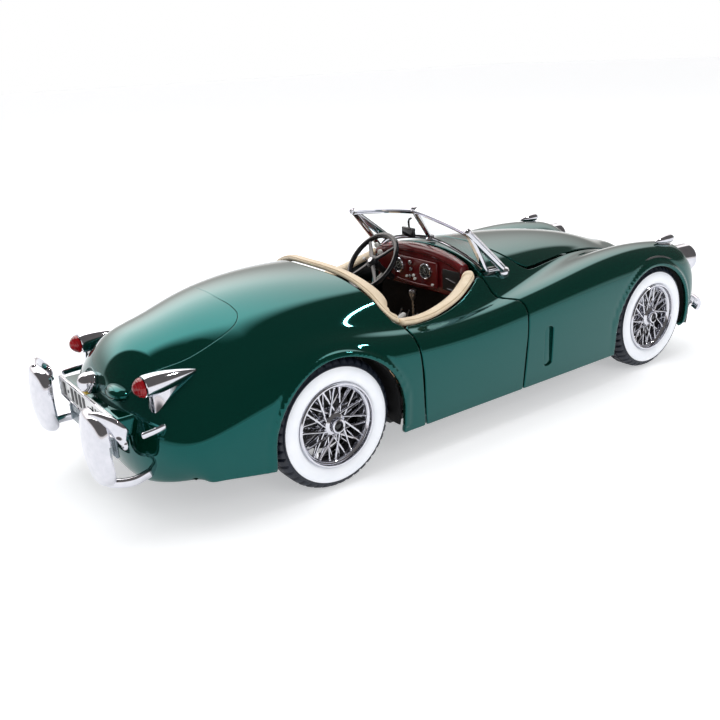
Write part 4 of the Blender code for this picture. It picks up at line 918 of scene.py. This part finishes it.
def build_front():
    hit = SKIN_TREE.ray_cast(vec(120, 24.2, 27.0), vec(-1, 0, 0))
    lamp = vec(hit[0].x, 24.2, 27.0)
    axis = vec(1, 0, -0.06).normalized()
    rim = [(4.1, -6.4), (4.12, 0.2), (4.2, 0.6), (4.12, 0.95), (3.85, 1.3), (3.5, 1.48), (3.2, 1.4), (3.05, 1.1),
           (3.05, -6.4)]
    lens = [(0, -1.0), (2.95, -1.0), (2.95, 0.9), (2.6, 1.3), (2.0, 1.65), (1.2, 1.95), (0.5, 2.07), (0, 2.1)]
    bowl = [(0, -3.2), (1.0, -3.0), (2.0, -2.2), (2.8, -0.9), (2.95, -0.9), (2.95, -3.6), (0, -3.6)]
    both("headlamp_{}_rim", [turned(rim, 64, lamp, axis, CHROME, loop=True), turned(bowl, 48, lamp, axis, CHROME)],
         ("headlamp_rim_{}",), "chrome")
    both("headlamp_{}_glass", [turned(lens, 48, lamp, axis, CLEAR_LENS)], ("headlamp_lens_{}",), "clear_lens")
    centre = vec(63.6, 25.4, skin_z(63.6, 25.4) + 1.15)
    body = [(0, -4.6), (0.3, -4.1), (0.6, -3.1), (0.85, -1.9), (1.05, -0.6), (1.18, 0.8), (1.2, 1.9), (1.12, 2.5)]
    glass = [(0, 2.3), (1.05, 2.4), (1.0, 2.8), (0.8, 3.3), (0.45, 3.6), (0, 3.7)]
    foot = []
    for t in np.linspace(0, 1, 6):
        foot.append([(centre.x - 0.2 + (2.6 + 0.7 * t) * cos(a), centre.y + (0.5 + 0.5 * t ** 1.5) * sin(a),
                      centre.z - 0.4 - 1.5 * t) for a in np.linspace(0, 2 * pi, 21)[:-1]])
    both("side_lamp_{}_shell", [turned(body + [(0, 2.5)], 32, centre, (1, 0, 0), CHROME), loft(foot, CHROME)],
         ("side_lamp_{}",), "chrome")
    both("side_lamp_{}_lens", [turned(glass, 32, centre, (1, 0, 0), CLEAR_LENS)], slot="clear_lens")
    path = curve_through([(80.6, 9.5, 13.4), (80.9, 15, 13.6), (80.4, 21, 13.8), (78.8, 26, 13.9),
                          (75.9, 30.0, 13.9)], 10)
    section = [(-0.62, -1.7), (-0.2, -1.86), (0.2, -1.8), (0.55, -1.3), (0.8, -0.6), (0.86, 0), (0.8, 0.6),
               (0.55, 1.3), (0.2, 1.8), (-0.2, 1.86), (-0.62, 1.7), (-0.3, 1.2), (0.0, 0.5), (0.0, -0.5),
               (-0.3, -1.2)]
    guard = [(0, -5.4), (0.5, -5.2), (0.95, -4.5), (1.25, -3.2), (1.42, -1.6), (1.48, 0), (1.42, 1.6), (1.25, 3.2),
             (0.95, 4.5), (0.5, 5.2), (0, 5.4)]
    parts = [sweep(path, section, CHROME), turned(guard, 32, (80.9, 11.2, 14.2), (0, 0, 1), CHROME)]
    both("front_bumper_{}_bar", parts, ("front_bumper_{}",), "chrome")
    lean = Matrix.Translation((72.4, 0, 18.8)) @ Matrix.Rotation(radians(-14), 4, "Y")
    ring_path = [vec(1.2, 5.45 * cos(a), 7.0 * sin(a)) for a in np.linspace(0, 2 * pi, 65)[:-1]]
    parts = [sweep(ring_path, oval(0.9, 0.7, 10), CHROME, up=(1, 0, 0), loop=True)]
    for i in range(11):
        y = -4.75 + 0.95 * i
        reach = 6.75 * sqrt(max(0.0, 1 - (y / 5.4) ** 2))
        path = curve_through([(1.1, y, -reach), (1.5, y, 0), (1.1, y, reach)], 4)
        parts.append(sweep(path, oval(0.34, 0.9, 10), CHROME, up=(0, 1, 0)))
    disc = turned([(0, 0.0), (0.98, 0.0), (0.98, 0.3), (0, 0.3)], 40, (0, 0, 0), (1, 0, 0), BLACK)
    parts.append(([(p[0], p[1] * 5.5, p[2] * 7.05) for p in disc[0]], *disc[1:]))
    parts = [([tuple(lean @ Vector(p)) for p in v], f, m) for v, f, m in parts]
    piece("grille_shield", parts, ("radiator_grille",), "chrome")


build_tail()
build_plate()
build_rear_bumpers()
build_front()

# ---------------------------------------------------------------- padded trim and seats

DOOR_TRIM = ((-4.9, 20.3), (-6.6, 21.4), (-12.5, 23.6), (-20.5, 25.2), (-27, 25.9), (-31.6, 25.9))
REAR_TRIM = ((-33.5, 25.2), (-35.2, 24.2), (-36.7, 22.4), (-38.2, 18), (-39.6, 12), (-41.5, 5), (-42.1, 0))


def trim_line(half_points, inset, whole=False):
    """Path along the edge of the opening, a set distance inside it, with the inward direction."""
    if whole:
        half_points = list(half_points) + [(x, -y) for x, y in half_points[-2::-1]]
    flat = curve_through([(x, y, 0) for x, y in half_points], 9)
    line = []
    for i, p in enumerate(flat):
        along = (flat[min(i + 1, len(flat) - 1)] - flat[max(i - 1, 0)]).normalized()
        inward = vec(along.y, -along.x, 0)
        if inward.dot(vec(-20, 0, 0) - p) < 0:
            inward = -inward
        rim = skin_z(p.x, p.y)
        slope = skin_z(p.x - inward.x, p.y - inward.y) - rim
        line.append((vec(p.x, p.y, rim - 0.07 * slope) + inward * inset, inward))
    return line


def padded_roll(line, width, height):
    """Closed roll, crowned on top, thinner at its stitched edge, with a seam cord along its outer side."""
    place = -0.40
    rings = []
    cord = []
    for i, (point, inward) in enumerate(line):
        t = i / (len(line) - 1)
        w = width(t)
        h = height(t)
        ring = []
        for k in range(24):
            a = 2 * pi * k / 24
            across = 0.5 * w * abs(cos(a)) ** 0.85 * (1 if cos(a) > 0 else -1)
            rise = 0.25 + 0.5 * h * sin(a) * (1.0 if sin(a) > 0 else 0.85) - 0.10 * w * (across / w + 0.5)
            ring.append(point + inward * across + vec(0, 0, rise))
        rings.append(ring)
        top = 0.25 + 0.5 * h * sqrt(max(0.0, 1 - (2 * place) ** 2)) * 0.96 - 0.10 * w * (place + 0.5)
        cord.append(point + inward * (place * w) + vec(0, 0, top))
    return [loft(round_ends(rings, 0.7), CREAM), sweep(cord, oval(0.24, 0.2, 8), CREAM_SEAM)]


def build_trims():
    side = trim_line(DOOR_TRIM, 0.32 + 1.65)

    def side_width(t):
        return 3.25 - 0.5 * (1 - min(1, t / 0.12)) ** 2

    parts = padded_roll(side, side_width, lambda t: 1.95)
    for roll in both("door_roll_{}", parts, ("door_trim_{}",), "cream_trim", "door_{}_panel"):
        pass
    rear = trim_line(REAR_TRIM, 0.32 + 1.85, whole=True)

    def rear_width(t):
        corner = max(0.0, 1 - abs(abs(t - 0.5) - 0.38) / 0.24)
        return 2.6 + 2.0 * corner * corner * (3 - 2 * corner)

    def rear_height(t):
        return 1.5 + 0.6 * min(1, abs(t - 0.5) / 0.35)

    roll = piece("rear_roll", padded_roll(rear, rear_width, rear_height), ("cockpit_trim",), "cream_trim")


def cushion(corners, thickness, rows, mat, crown):
    """Crowned pad over a rectangle: corners are back-left, back-right, front-left, front-right."""
    a, b, c, d = [Vector(p) for p in corners]
    up = (b - a).cross(c - a).normalized()
    if up.z < 0 and abs(up.z) > 0.2 or up.x < -0.8:
        up = -up
    n = 28
    m = 30
    pinch = 0.035
    verts = []
    for face in (1, -1):
        for i in range(n + 1):
            for j in range(m + 1):
                u = i / n
                v = j / m
                uu = u + pinch * (0.5 - u) * 4 * v * (1 - v) * 0.5
                vv = v + pinch * (0.5 - v) * 4 * u * (1 - u) * 0.5
                base = a.lerp(b, uu).lerp(c.lerp(d, uu), vv)
                edge = min(1.0, 9 * min(u, 1 - u)) ** 0.5 * min(1.0, 9 * min(v, 1 - v)) ** 0.5
                bulge = sqrt(max(0.0, sin(pi * u))) * sqrt(max(0.0, sin(pi * v)))
                height = 0.5 * thickness * (0.35 + 0.65 * edge)
                if face > 0:
                    channel = 0.0
                    for r in range(1, rows):
                        channel = max(channel, exp(-((u - r / rows) * 34) ** 2))
                    height += crown * 0.35 * bulge * (1 - 0.75 * channel) - 0.22 * channel * edge
                verts.append(tuple(base + up * height * face))
    stride = (n + 1) * (m + 1)
    faces = []
    for i in range(n):
        for j in range(m):
            k = i * (m + 1) + j
            faces.append((k, k + 1, k + m + 2, k + m + 1))
            faces.append((stride + k, stride + k + m + 1, stride + k + m + 2, stride + k + 1))
    border = [i * (m + 1) for i in range(n)] + [n * (m + 1) + j for j in range(m)]
    border += [i * (m + 1) + m for i in range(n, 0, -1)] + [j for j in range(m, 0, -1)]
    for k, l in zip(border, border[1:] + border[:1]):
        faces.append((k, l, stride + l, stride + k))
    return verts, faces, mat


def build_seats():
    squab = cushion([(-30.0, 4.8, 15.2), (-30.0, 19.8, 15.2), (-13.6, 4.8, 16.4), (-13.6, 19.8, 16.4)],
                    3.2, 6, TAN, 0.9)
    back = cushion([(-32.2, 4.8, 16.5), (-32.2, 19.8, 16.5), (-35.2, 4.8, 32.6), (-35.2, 19.8, 32.6)],
                   2.6, 6, TAN, 0.9)
    base = slab(-32.0, -14.2, 5.0, 19.6, 12.2, 14.2, BLACK, 0.5)
    ring = [(-29.6, 5.0, 16.1), (-29.6, 19.6, 16.1), (-14.0, 19.6, 17.4), (-13.6, 12.3, 17.5), (-14.0, 5.0, 17.4)]
    edge = sweep(curve_through(ring, 8, loop=True), oval(0.45, 0.45, 8), CREAM_SEAM, loop=True)
    for seat in both("seat_pad_{}", [squab, back, base, edge], ("seat_{}",), "tan_trim", angle=60):
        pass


def build_cards():
    card = slab(-30.1, 0.1, 28.75, 29.6, 11.0, 24.9, TAN, 0.3, 3)
    pad = slab(-28.6, -1.4, 28.45, 28.8, 13.6, 22.6, TAN, 0.16, 2)
    seams = [sweep([(-28.0, 28.42, z), (-15, 28.42, z + 0.1), (-2.0, 28.42, z)], oval(0.18, 0.18, 6), CREAM_SEAM)
             for z in (14.4, 21.8)]
    pull = sweep(curve_through([(-20, 28.45, 19.2), (-17.5, 27.9, 19.5), (-15, 28.45, 19.2)], 5),
                 oval(0.4, 0.5, 10), CHROME)
    both("door_card_{}_pad", [card, pad, pull] + seams, ("door_card_{}",), "tan_trim", "door_{}_panel")


build_trims()
build_seats()
build_cards()


# ---------------------------------------------------------------- dashboard and controls

def build_dash():
    rings = []
    for i in range(49):
        y = -16.8 + 33.6 * i / 48
        top = skin_z(-3.9, y) + 0.22
        section = [(-4.0, top - 1.8), (-4.3, top - 0.6), (-4.8, top - 0.12), (-5.4, top), (-6.05, top - 0.16),
                   (-6.6, top - 0.6), (-6.95, top - 1.2), (-6.98, top - 1.8), (-6.7, top - 2.3), (-6.3, top - 2.5),
                   (-6.22, top - 2.9), (-6.22, 34), (-6.2, 29.9), (-5.9, 29.45), (-4.0, 29.45)]
        rings.append([(x, y, z) for x, z in section])
    body = loft(rings, BURGUNDY)
    face = slab(-7.15, -6.2, -8.3, 8.5, 30.9, 37.5, BURGUNDY, 0.4, 4)
    lower = curve_through([(-6.85, -8.0, 31.0), (-7.3, 0, 30.85), (-6.85, 8.2, 31.0)], 8)
    lip = sweep(lower, oval(0.7, 0.75, 14), BURGUNDY, rounded=0.3)
    pocket = slab(-6.32, -5.9, -16.0, -9.6, 30.8, 36.2, BLACK, 0.25, 3)
    lips = [rod((-6.5, -11.2, 34.0), (-6.5, -14.6, 33.3), 0.16, CHROME, 8),
            rod((-6.5, -11.6, 31.4), (-6.5, -14.2, 31.2), 0.16, CHROME, 8)]
    knobs = []
    for y, z, r in ((1.55, 36.2, 0.62), (1.25, 34.5, 0.5), (0.2, 33.0, 0.38), (1.6, 32.6, 0.45), (-0.3, 32.2, 0.38),
                    (2.9, 32.4, 0.35), (-7.2, 31.8, 0.3), (7.3, 36.4, 0.3)):
        knob = [(0, -0.3), (0.6 * r, -0.3), (0.6 * r, 0.15), (r, 0.25), (r, 0.5), (0.8 * r, 0.68), (0, 0.72)]
        knobs.append(turned(knob, 20, (-7.15, y, z), (-1, 0, 0), STEEL if r > 0.4 else IVORY))
    piece("dash_body", [body], ("dashboard",), "burgundy")
    piece("dash_face", [face, lip], ("instrument_panel",), "burgundy")
    piece("dash_fittings", [pocket] + lips + knobs, slot="steel")
    bezel_ring = [(1.62, -0.1), (2.12, -0.1), (2.15, 0.35), (2.02, 0.68), (1.84, 0.76), (1.7, 0.66), (1.62, 0.4)]
    for label, y in (("left", 6.3), ("right", -4.6)):
        centre = vec(-7.2, y, 34.9)
        bezel = turned(bezel_ring, 48, centre, (-1, 0, 0), CHROME, loop=True)
        dial = turned([(0, 0.0), (1.7, 0.0), (1.7, 0.34), (0, 0.34)], 40, centre, (-1, 0, 0), BLACK)
        marks = []
        for k in range(12):
            a = radians(-120 + 240 * k / 11)
            marks.append(rod(centre + vec(-0.36, 1.22 * sin(a), 1.22 * cos(a)),
                             centre + vec(-0.36, 1.5 * sin(a), 1.5 * cos(a)), 0.07, IVORY, 6))
        inner = turned([(0.78, 0.34), (0.86, 0.34), (0.86, 0.4), (0.78, 0.4)], 32, centre, (-1, 0, 0), IVORY,
                       loop=True)
        a = radians(-48 if label == "left" else 36)
        needle = rod(centre + vec(-0.44, -0.3 * sin(a), -0.3 * cos(a)),
                     centre + vec(-0.44, 1.25 * sin(a), 1.25 * cos(a)), 0.07, IVORY, 6)
        boss = turned([(0, 0.3), (0.22, 0.3), (0.2, 0.5), (0, 0.54)], 16, centre, (-1, 0, 0), STEEL)
        glass = turned([(0, 0.56), (1.6, 0.52), (1.6, 0.58), (1.0, 0.66), (0, 0.7)], 32, centre, (-1, 0, 0), GLASS)
        piece("dial_" + label, [bezel, dial, inner, needle, boss, glass] + marks, ("gauge_" + label,), "chrome")


def build_helm():
    top = vec(-13.6, 9.6, 36.2)
    tilt = radians(40)
    axis = vec(-cos(tilt), 0, sin(tilt))
    radius = 8.0
    ring = [(radius + 0.72 * cos(a), 0.66 * sin(a)) for a in np.linspace(0, 2 * pi, 17)[:-1]]
    rim = turned(ring, 96, top, axis, BLACK_GLOSS, loop=True,
                 shape=lambda n, i, r: r - (0.07 if i % 4 == 0 and ring[n][0] < radius - 0.1 else 0))
    hub = turned([(0, -0.7), (1.5, -0.7), (1.7, -0.5), (1.8, 0.0), (1.75, 0.35), (1.45, 0.6), (1.25, 0.62),
                  (1.15, 0.75), (0.9, 0.95), (0, 1.02)], 40, top, axis, BLACK_GLOSS)
    badge = turned([(0.62, 0.86), (0.72, 1.0), (0.62, 1.08), (0, 1.1)], 28, top, axis, STEEL)
    side = vec(0, 1, 0)
    rise = axis.cross(side)
    parts = [rim, hub, badge]
    for i in range(4):
        a = radians(45 + 90 * i)
        out = side * cos(a) + rise * sin(a)
        path = [top + out * r + axis * h
                for r, h in ((1.0, 0.15), (2.6, 0.02), (4.4, -0.05), (6.2, -0.03), (radius - 0.05, 0.0))]
        parts.append(sweep(path, lambda t: oval(1.5 - 0.5 * t, 0.55 - 0.12 * t, 14), BLACK_GLOSS, up=axis))
    piece("helm_wheel", parts, ("steering_wheel",), "black_gloss", "helm")
    tube = turned([(0, -8.6), (0.85, -8.6), (0.85, -2.2), (1.15, -2.1), (1.2, -1.2), (1.0, -1.02), (0, -1.0)], 32,
                  top, axis, BLACK)
    stalk = rod(top - axis * 1.7 + vec(0, 0.9, 0), top - axis * 1.9 + vec(0, 5.4, 0.8), 0.2, CHROME, 8)
    tip = turned([(0, -0.55), (0.42, -0.35), (0.5, 0.1), (0.3, 0.5), (0, 0.6)], 16,
                 top - axis * 1.9 + vec(0, 5.6, 0.85), (0, 1, 0.2), IVORY)
    knob = [(0, -0.6), (0.55, -0.45), (0.75, 0.0), (0.6, 0.5), (0.25, 0.72), (0, 0.75)]
    places = ((14.6, 39.0), (13.2, 37.3))
    knobs = [turned(knob, 24, (-8.1, y, z), (-1, 0, 0.2), IVORY) for y, z in places]
    posts = [rod((-6.4, y, z - 0.3), (-8.0, y, z), 0.25, STEEL, 8) for y, z in places]
    lever = rod((-7.4, 12.9, 31.6), (-9.4, 16.2, 27.6), 0.5, IVORY, 12)
    piece("column_tube", [tube, stalk, tip], ("steering_column",), "black_metal")
    piece("column_knobs", knobs + posts + [lever], slot="white_gloss")


def build_levers():
    profile = [(0, 19.4), (1.5, 19.4), (1.35, 19.8), (0.8, 20.5), (0.45, 21.2), (0.36, 23), (0.36, 26.2),
               (0.62, 26.9), (0.98, 27.7), (1.12, 28.5), (1.05, 29.0), (0.72, 29.4), (0.3, 29.5), (0, 29.5)]
    stick = turned(profile, 28, (-8.0, 0, 0), (0, 0, 1), STEEL)
    piece("gear_stick", [stick], ("gear_lever",), "steel")
    foot = slab(-23.4, -20.8, -2.6, -1.2, 19.35, 20.4, BLACK, 0.25)
    stem = rod((-22.4, -1.9, 20.0), (-13.6, -1.9, 23.6), 0.42, CHROME, 12)
    profile = [(0, 0), (0.6, 0.1), (0.74, 0.5), (0.66, 1.2), (0.74, 1.9), (0.66, 2.6), (0.74, 3.4), (0.7, 4.6),
               (0.4, 4.95), (0, 5.0)]
    grip = turned(profile, 20, (-17.0, -1.9, 22.2), (4.6, 0, 1.9), IVORY)
    piece("brake_stick", [foot, stem, grip], ("handbrake_lever",), "white_gloss")


def build_floor():
    floor = slab(-38.0, 1.8, -25.6, 25.6, 10.6, 11.8, CARPET, 0.25)
    tunnel_rings = []
    for x in np.linspace(-37.4, 1.2, 12):
        arch = [(x, 3.2 * cos(a) * (1.0 if abs(cos(a)) > 0.98 else 0.98), 11.2 + 7.8 * max(0.0, sin(a)) ** 0.55)
                for a in np.linspace(0, pi, 15)]
        tunnel_rings.append(arch)
    tunnel = loft(tunnel_rings, CARPET)
    front = slab(0.6, 1.8, -24.4, 24.4, 11.2, 30.0, CARPET, 0.25)
    rear = slab(-38.4, -37.2, -21.0, 21.0, 11.2, 35.0, CARPET, 0.25)
    ribs = [slab(-11.99, -2.0, y - 0.35, y + 0.35, 11.7, 12.05, BLACK, 0.12, 2)
            for y in (-19, -16, -13, -10, 10, 13, 16, 19)]
    mats = [slab(-13.2, -1.2, s * 14.6 - 6.2, s * 14.6 + 6.2, 11.7, 11.95, BLACK, 0.1, 2) for s in (1, -1)]
    pedal_places = (8.6, 12.2, 15.4)
    pedals = [slab(-1.4, -0.9, y - 0.8, y + 0.8, 15.4, 17.6, STEEL, 0.2, 2) for y in pedal_places]
    pedal_arms = [rod((-0.9, y, 16.6), (0.7, y, 19.4), 0.25, STEEL, 8) for y in pedal_places]
    piece("cockpit_floor", [floor, tunnel, front, rear] + mats + ribs + pedals + pedal_arms, ("interior_tub",),
          "black_matte")


build_dash()
build_helm()
build_levers()
build_floor()


# ---------------------------------------------------------------- windscreen and mirror

def on_screen(y, z):
    """Point of the left pane's plane."""
    n = SCREEN_NORMAL
    return vec(SCREEN_BASE.x - (n.y * y + n.z * (z - SCREEN_BASE.z)) / n.x, y, z)


def screen_foot(y):
    """Point of the screen plane just above the skin."""
    lift = 0.95
    point = on_screen(y, 40.0)
    for _ in range(4):
        point = on_screen(y, skin_z(point.x, y) + lift)
    return point


def build_windscreen():
    corner = SCREEN_CORNER
    outer_low = screen_foot(20.6)
    bottom = [screen_foot(y) for y in (0.6, 4, 8, 12, 16, 19.2)]
    top = curve_through([SCREEN_TOP + vec(0, 0.35, 0), SCREEN_TOP.lerp(corner, 0.3) + vec(0, 0, 0.28),
                         SCREEN_TOP.lerp(corner, 0.7) + vec(0, 0, 0.26), corner + vec(0, -0.2, 0)], 8)
    bar = [(-0.75, -0.35), (-0.75, 0.35), (-0.45, 0.62), (0.0, 0.7), (0.45, 0.62), (0.75, 0.35), (0.75, -0.35),
           (0.5, -0.5), (0.2, -0.45), (0.14, -0.15), (-0.14, -0.15), (-0.2, -0.45), (-0.5, -0.5)]
    side = curve_through([corner + vec(0, 0, 0.2), corner.lerp(outer_low, 0.5) + vec(0.1, 0.15, 0), outer_low], 10)
    foot_point = vec(4.4, 20.4, skin_z(4.4, 20.4) + 1.2)
    post = curve_through([corner + vec(-0.3, 0.2, 0.45), corner.lerp(foot_point, 0.35) + vec(0, 0.12, 0.2),
                          corner.lerp(foot_point, 0.75) + vec(0, 0.1, 0.15), foot_point], 8)
    outward = vec(0.25, 0.95, 0.25)
    parts = [sweep(top, bar, CHROME, up=(0.86, 0, 0.5), rounded=0.3),
             sweep(side, bar, CHROME, up=(0.3, 0.9, 0.3), rounded=0.3),
             sweep(curve_through(bottom + [outer_low], 5), oval(1.0, 0.95, 16), CHROME, rounded=0.3),
             sweep(post, lambda t: oval(1.9 + 0.3 * t, 1.25 + 0.1 * t, 20, power=0.75), CHROME, up=outward,
                   rounded=0.6)]
    ridge = [p + vec(0.1, 0.55, 0.4) for p in post[2:-2]]
    parts.append(sweep(ridge, oval(0.5, 0.45, 10), CHROME, rounded=0.2))
    profile = [(0, -1.5), (1.2, -1.4), (1.5, -0.9), (1.5, -0.2), (1.2, 0.35), (1.25, 0.5), (0.95, 0.85), (0, 1.0)]
    blob = turned(profile, 28, foot_point + vec(0, 0, -0.1), (0.1, 0.35, 0.9), CHROME)
    bracket = slab(outer_low.x - 0.5, outer_low.x + 3.4, 19.0, 20.6, outer_low.z - 1.1, outer_low.z + 0.9,
                   BLACK_GLOSS, 0.4, 3)
    web = sweep(curve_through([outer_low + vec(0.2, 0, 0.2), outer_low.lerp(foot_point, 0.5) + vec(0, 0.1, 0.35),
                               foot_point], 6), oval(1.0, 0.8, 14), CHROME, rounded=0.3)
    clamp = slab(corner.x - 0.75, corner.x + 0.65, corner.y - 0.9, corner.y + 0.75, corner.z - 0.55,
                 corner.z + 0.95, CHROME, 0.35, 3)
    parts += [blob, bracket, web, clamp]
    whole = parts + [flipped(p) for p in parts]
    base = screen_foot(0)
    centre = curve_through([base - vec(0, 0, 0.3), base.lerp(SCREEN_TOP, 0.5), SCREEN_TOP + vec(-0.1, 0, 0.75)], 8)
    whole.append(sweep(centre, lambda t: oval(1.5 - 0.3 * t, 1.2, 18, power=0.8), CHROME, up=(0.86, 0, 0.5),
                       rounded=0.4))
    whole.append(turned([(0, -0.6), (1.3, -0.6), (1.4, -0.3), (1.1, 0.3), (0.85, 0.9), (0, 1.1)], 28, base,
                        (0.1, 0, 1), CHROME))
    whole.append(turned([(0, -0.5), (0.85, -0.4), (0.9, 0), (0.7, 0.5), (0, 0.75)], 24,
                        SCREEN_TOP + vec(-0.1, 0, 0.5), (0, 0, 1), CHROME))
    piece("screen_frame", whole, ("windscreen_frame",), "chrome")
    low = [screen_foot(y) for y in (1.0, 3, 6, 9, 12, 15, 18, 19.6)]
    low = [on_screen(p.y, p.z + 0.4) for p in low]
    pane = low + [on_screen(corner.y - 1.0, corner.z - 0.4), on_screen(1.0, SCREEN_TOP.z - 0.5)]
    glass = loft([[p + SCREEN_NORMAL * d for p in pane] for d in (-0.16, 0.16)], GLASS)
    edge = sweep([p + vec(0, 0, 0.05) for p in pane[:-2]], oval(0.5, 0.5, 8), BLACK)
    both("screen_pane_{}", [glass, edge], ("windscreen_glass_{}",), "screen_glass", angle=25)
    shell = slab(-6.5, -5.75, 0.95, 5.95, 42.45, 44.95, BLACK_GLOSS, 0.32, 4)
    mirror = slab(-6.62, -6.45, 1.3, 5.6, 42.75, 44.65, BLACK_GLOSS, 0.08, 2)
    stem = sweep(curve_through([(-6.1, 3.2, 44.8), (-6.3, 3.1, 46.2), (-6.7, 2.4, 47.2), (-6.9, 1.4, 47.6)], 6),
                 oval(0.55, 0.55, 10), BLACK_GLOSS, rounded=0.2)
    piece("mirror_shell", [shell, mirror, stem], ("rear_view_mirror",), "black_gloss")


build_windscreen()


# ---------------------------------------------------------------- plain repaints of small frame parts

repaint(BLACK, "base_plate", "front_knuckle_left", "front_knuckle_right", "tie_rod")
repaint(STEEL, "rear_axle")
repaint(ALLOY, "engine_block")


# ---------------------------------------------------------------- stage, light and camera

def make_floor():
    mesh = bpy.data.meshes.new("floor")
    size = 4.0
    mesh.from_pydata([(-size, -size, 0), (size, -size, 0), (size, size, 0), (-size, size, 0)], [], [(0, 1, 2, 3)])
    mesh.materials.append(surface("floor_white", (0.86, 0.86, 0.87), (0.89, 0.89, 0.90), (0.75, 0.85), scale=40,
                                  Emission_Color=(0.97, 0.985, 1.0, 1), Emission_Strength=0.42,
                                  Specular_IOR_Level=0.2))
    floor = linked("floor", mesh)


def make_world():
    """White for the camera. Reflections see a bright wall on the +Y side, a dim ceiling and a white horizon.

    The wall is dimmer towards the front and ends behind the car.
    """
    world = bpy.data.worlds.new("studio")
    bpy.context.scene.world = world
    world.use_nodes = True
    tree = world.node_tree
    place = add_node(tree, "TexCoord").outputs["Generated"]
    ahead, across, above = add_node(tree, "SeparateXYZ", Vector=place).outputs

    def ranged(source, low, high, out_low, out_high):
        node = add_node(tree, "MapRange", Value=source, From_Min=low, From_Max=high, To_Min=out_low,
                        To_Max=out_high)
        node.interpolation_type = "SMOOTHSTEP"
        return node.outputs["Result"]

    def joined(kind, *terms):
        node = tree.nodes.new("ShaderNodeMath")
        node.operation = kind
        for socket, term in zip(node.inputs, terms):
            if isinstance(term, bpy.types.NodeSocket):
                tree.links.new(term, socket)
            else:
                socket.default_value = term
        return node.outputs["Value"]

    lifted = joined("MULTIPLY", joined("MULTIPLY", joined("MAXIMUM", ahead, 0.0), above), -0.35)
    behind = joined("MULTIPLY", joined("MINIMUM", joined("ADD", ahead, 0.15), 0.0), 1.6)
    wall = ranged(joined("ADD", joined("ADD", across, lifted), behind), 0.04, 0.18, 0.0, 1.0)
    rising = ranged(above, 0.10, 0.62, 0.9, 3.7)
    fading = ranged(ahead, 0.0, 0.9, 1.1, 0.5)
    horizon = ranged(above, 0.02, 0.14, 1.0, 0.13)
    total = joined("MAXIMUM", joined("MULTIPLY", joined("MULTIPLY", wall, rising), fading), horizon)
    room = add_node(tree, "Background", Color=(1.06, 1.0, 0.97, 1), Strength=total)
    ray = add_node(tree, "LightPath").outputs
    soft = add_node(tree, "MapRange", Value=ray["Is Camera Ray"], To_Min=0.6, To_Max=1.0)
    seen = tree.nodes["Background"]
    feed(tree, seen, Color=(1, 1, 1, 1), Strength=soft.outputs["Result"])
    mix = add_node(tree, "MixShader", Fac=ray["Is Glossy Ray"])
    for socket, source in zip(mix.inputs[1:], (seen, room)):
        tree.links.new(source.outputs["Background"], socket)
    feed(tree, tree.nodes["World Output"], Surface=mix.outputs["Shader"])


def area_light(name, where, target, size, power, size_y=None, reflected=False):
    """Lamp that only lights surfaces, or, if reflected, only shows in them."""
    light = bpy.data.lights.new(name, "AREA")
    light.energy = power
    light.shape = "RECTANGLE"
    light.size = size
    light.size_y = size_y or size
    obj = linked(name, light)
    obj.location = Vector(where)
    obj.visible_glossy = reflected
    obj.visible_diffuse = not reflected
    obj.rotation_mode = "QUATERNION"
    obj.rotation_quaternion = (Vector(target) - Vector(where)).to_track_quat("-Z", "Y")


def make_camera():
    """Place and direction worked out from the wheels and the ground line of the photograph."""
    cam = bpy.data.cameras.new("camera")
    cam.sensor_width = 36.0
    cam.lens = 41.87
    cam.clip_start = 0.005
    obj = linked("camera", cam)
    right = vec(0.8014, -0.5963, -0.0465)
    up = vec(0.2387, 0.2477, 0.9390)
    forward = vec(0.5484, 0.7636, -0.3409)
    turn = Matrix((right, up, -forward)).transposed()
    obj.matrix_world = Matrix.Translation(((-143.26 + SHIFT) * MM, -163.15 * MM, 87.15 * MM)) @ turn.to_4x4()
    bpy.context.scene.camera = obj


make_floor()
make_world()
make_camera()
area_light("overhead", (0.0, 0.1, 0.75), (0, 0, 0), 0.9, 2.2, 0.5)
area_light("side", (-0.1, -0.8, 0.5), (0, 0, 0.02), 0.5, 1.4)
area_light("strip", (0.41, -0.24, 0.63), (0.0, 0, 0), 0.13, 1.0, 0.022, reflected=True)
bpy.context.scene.view_settings.view_transform = "Standard"
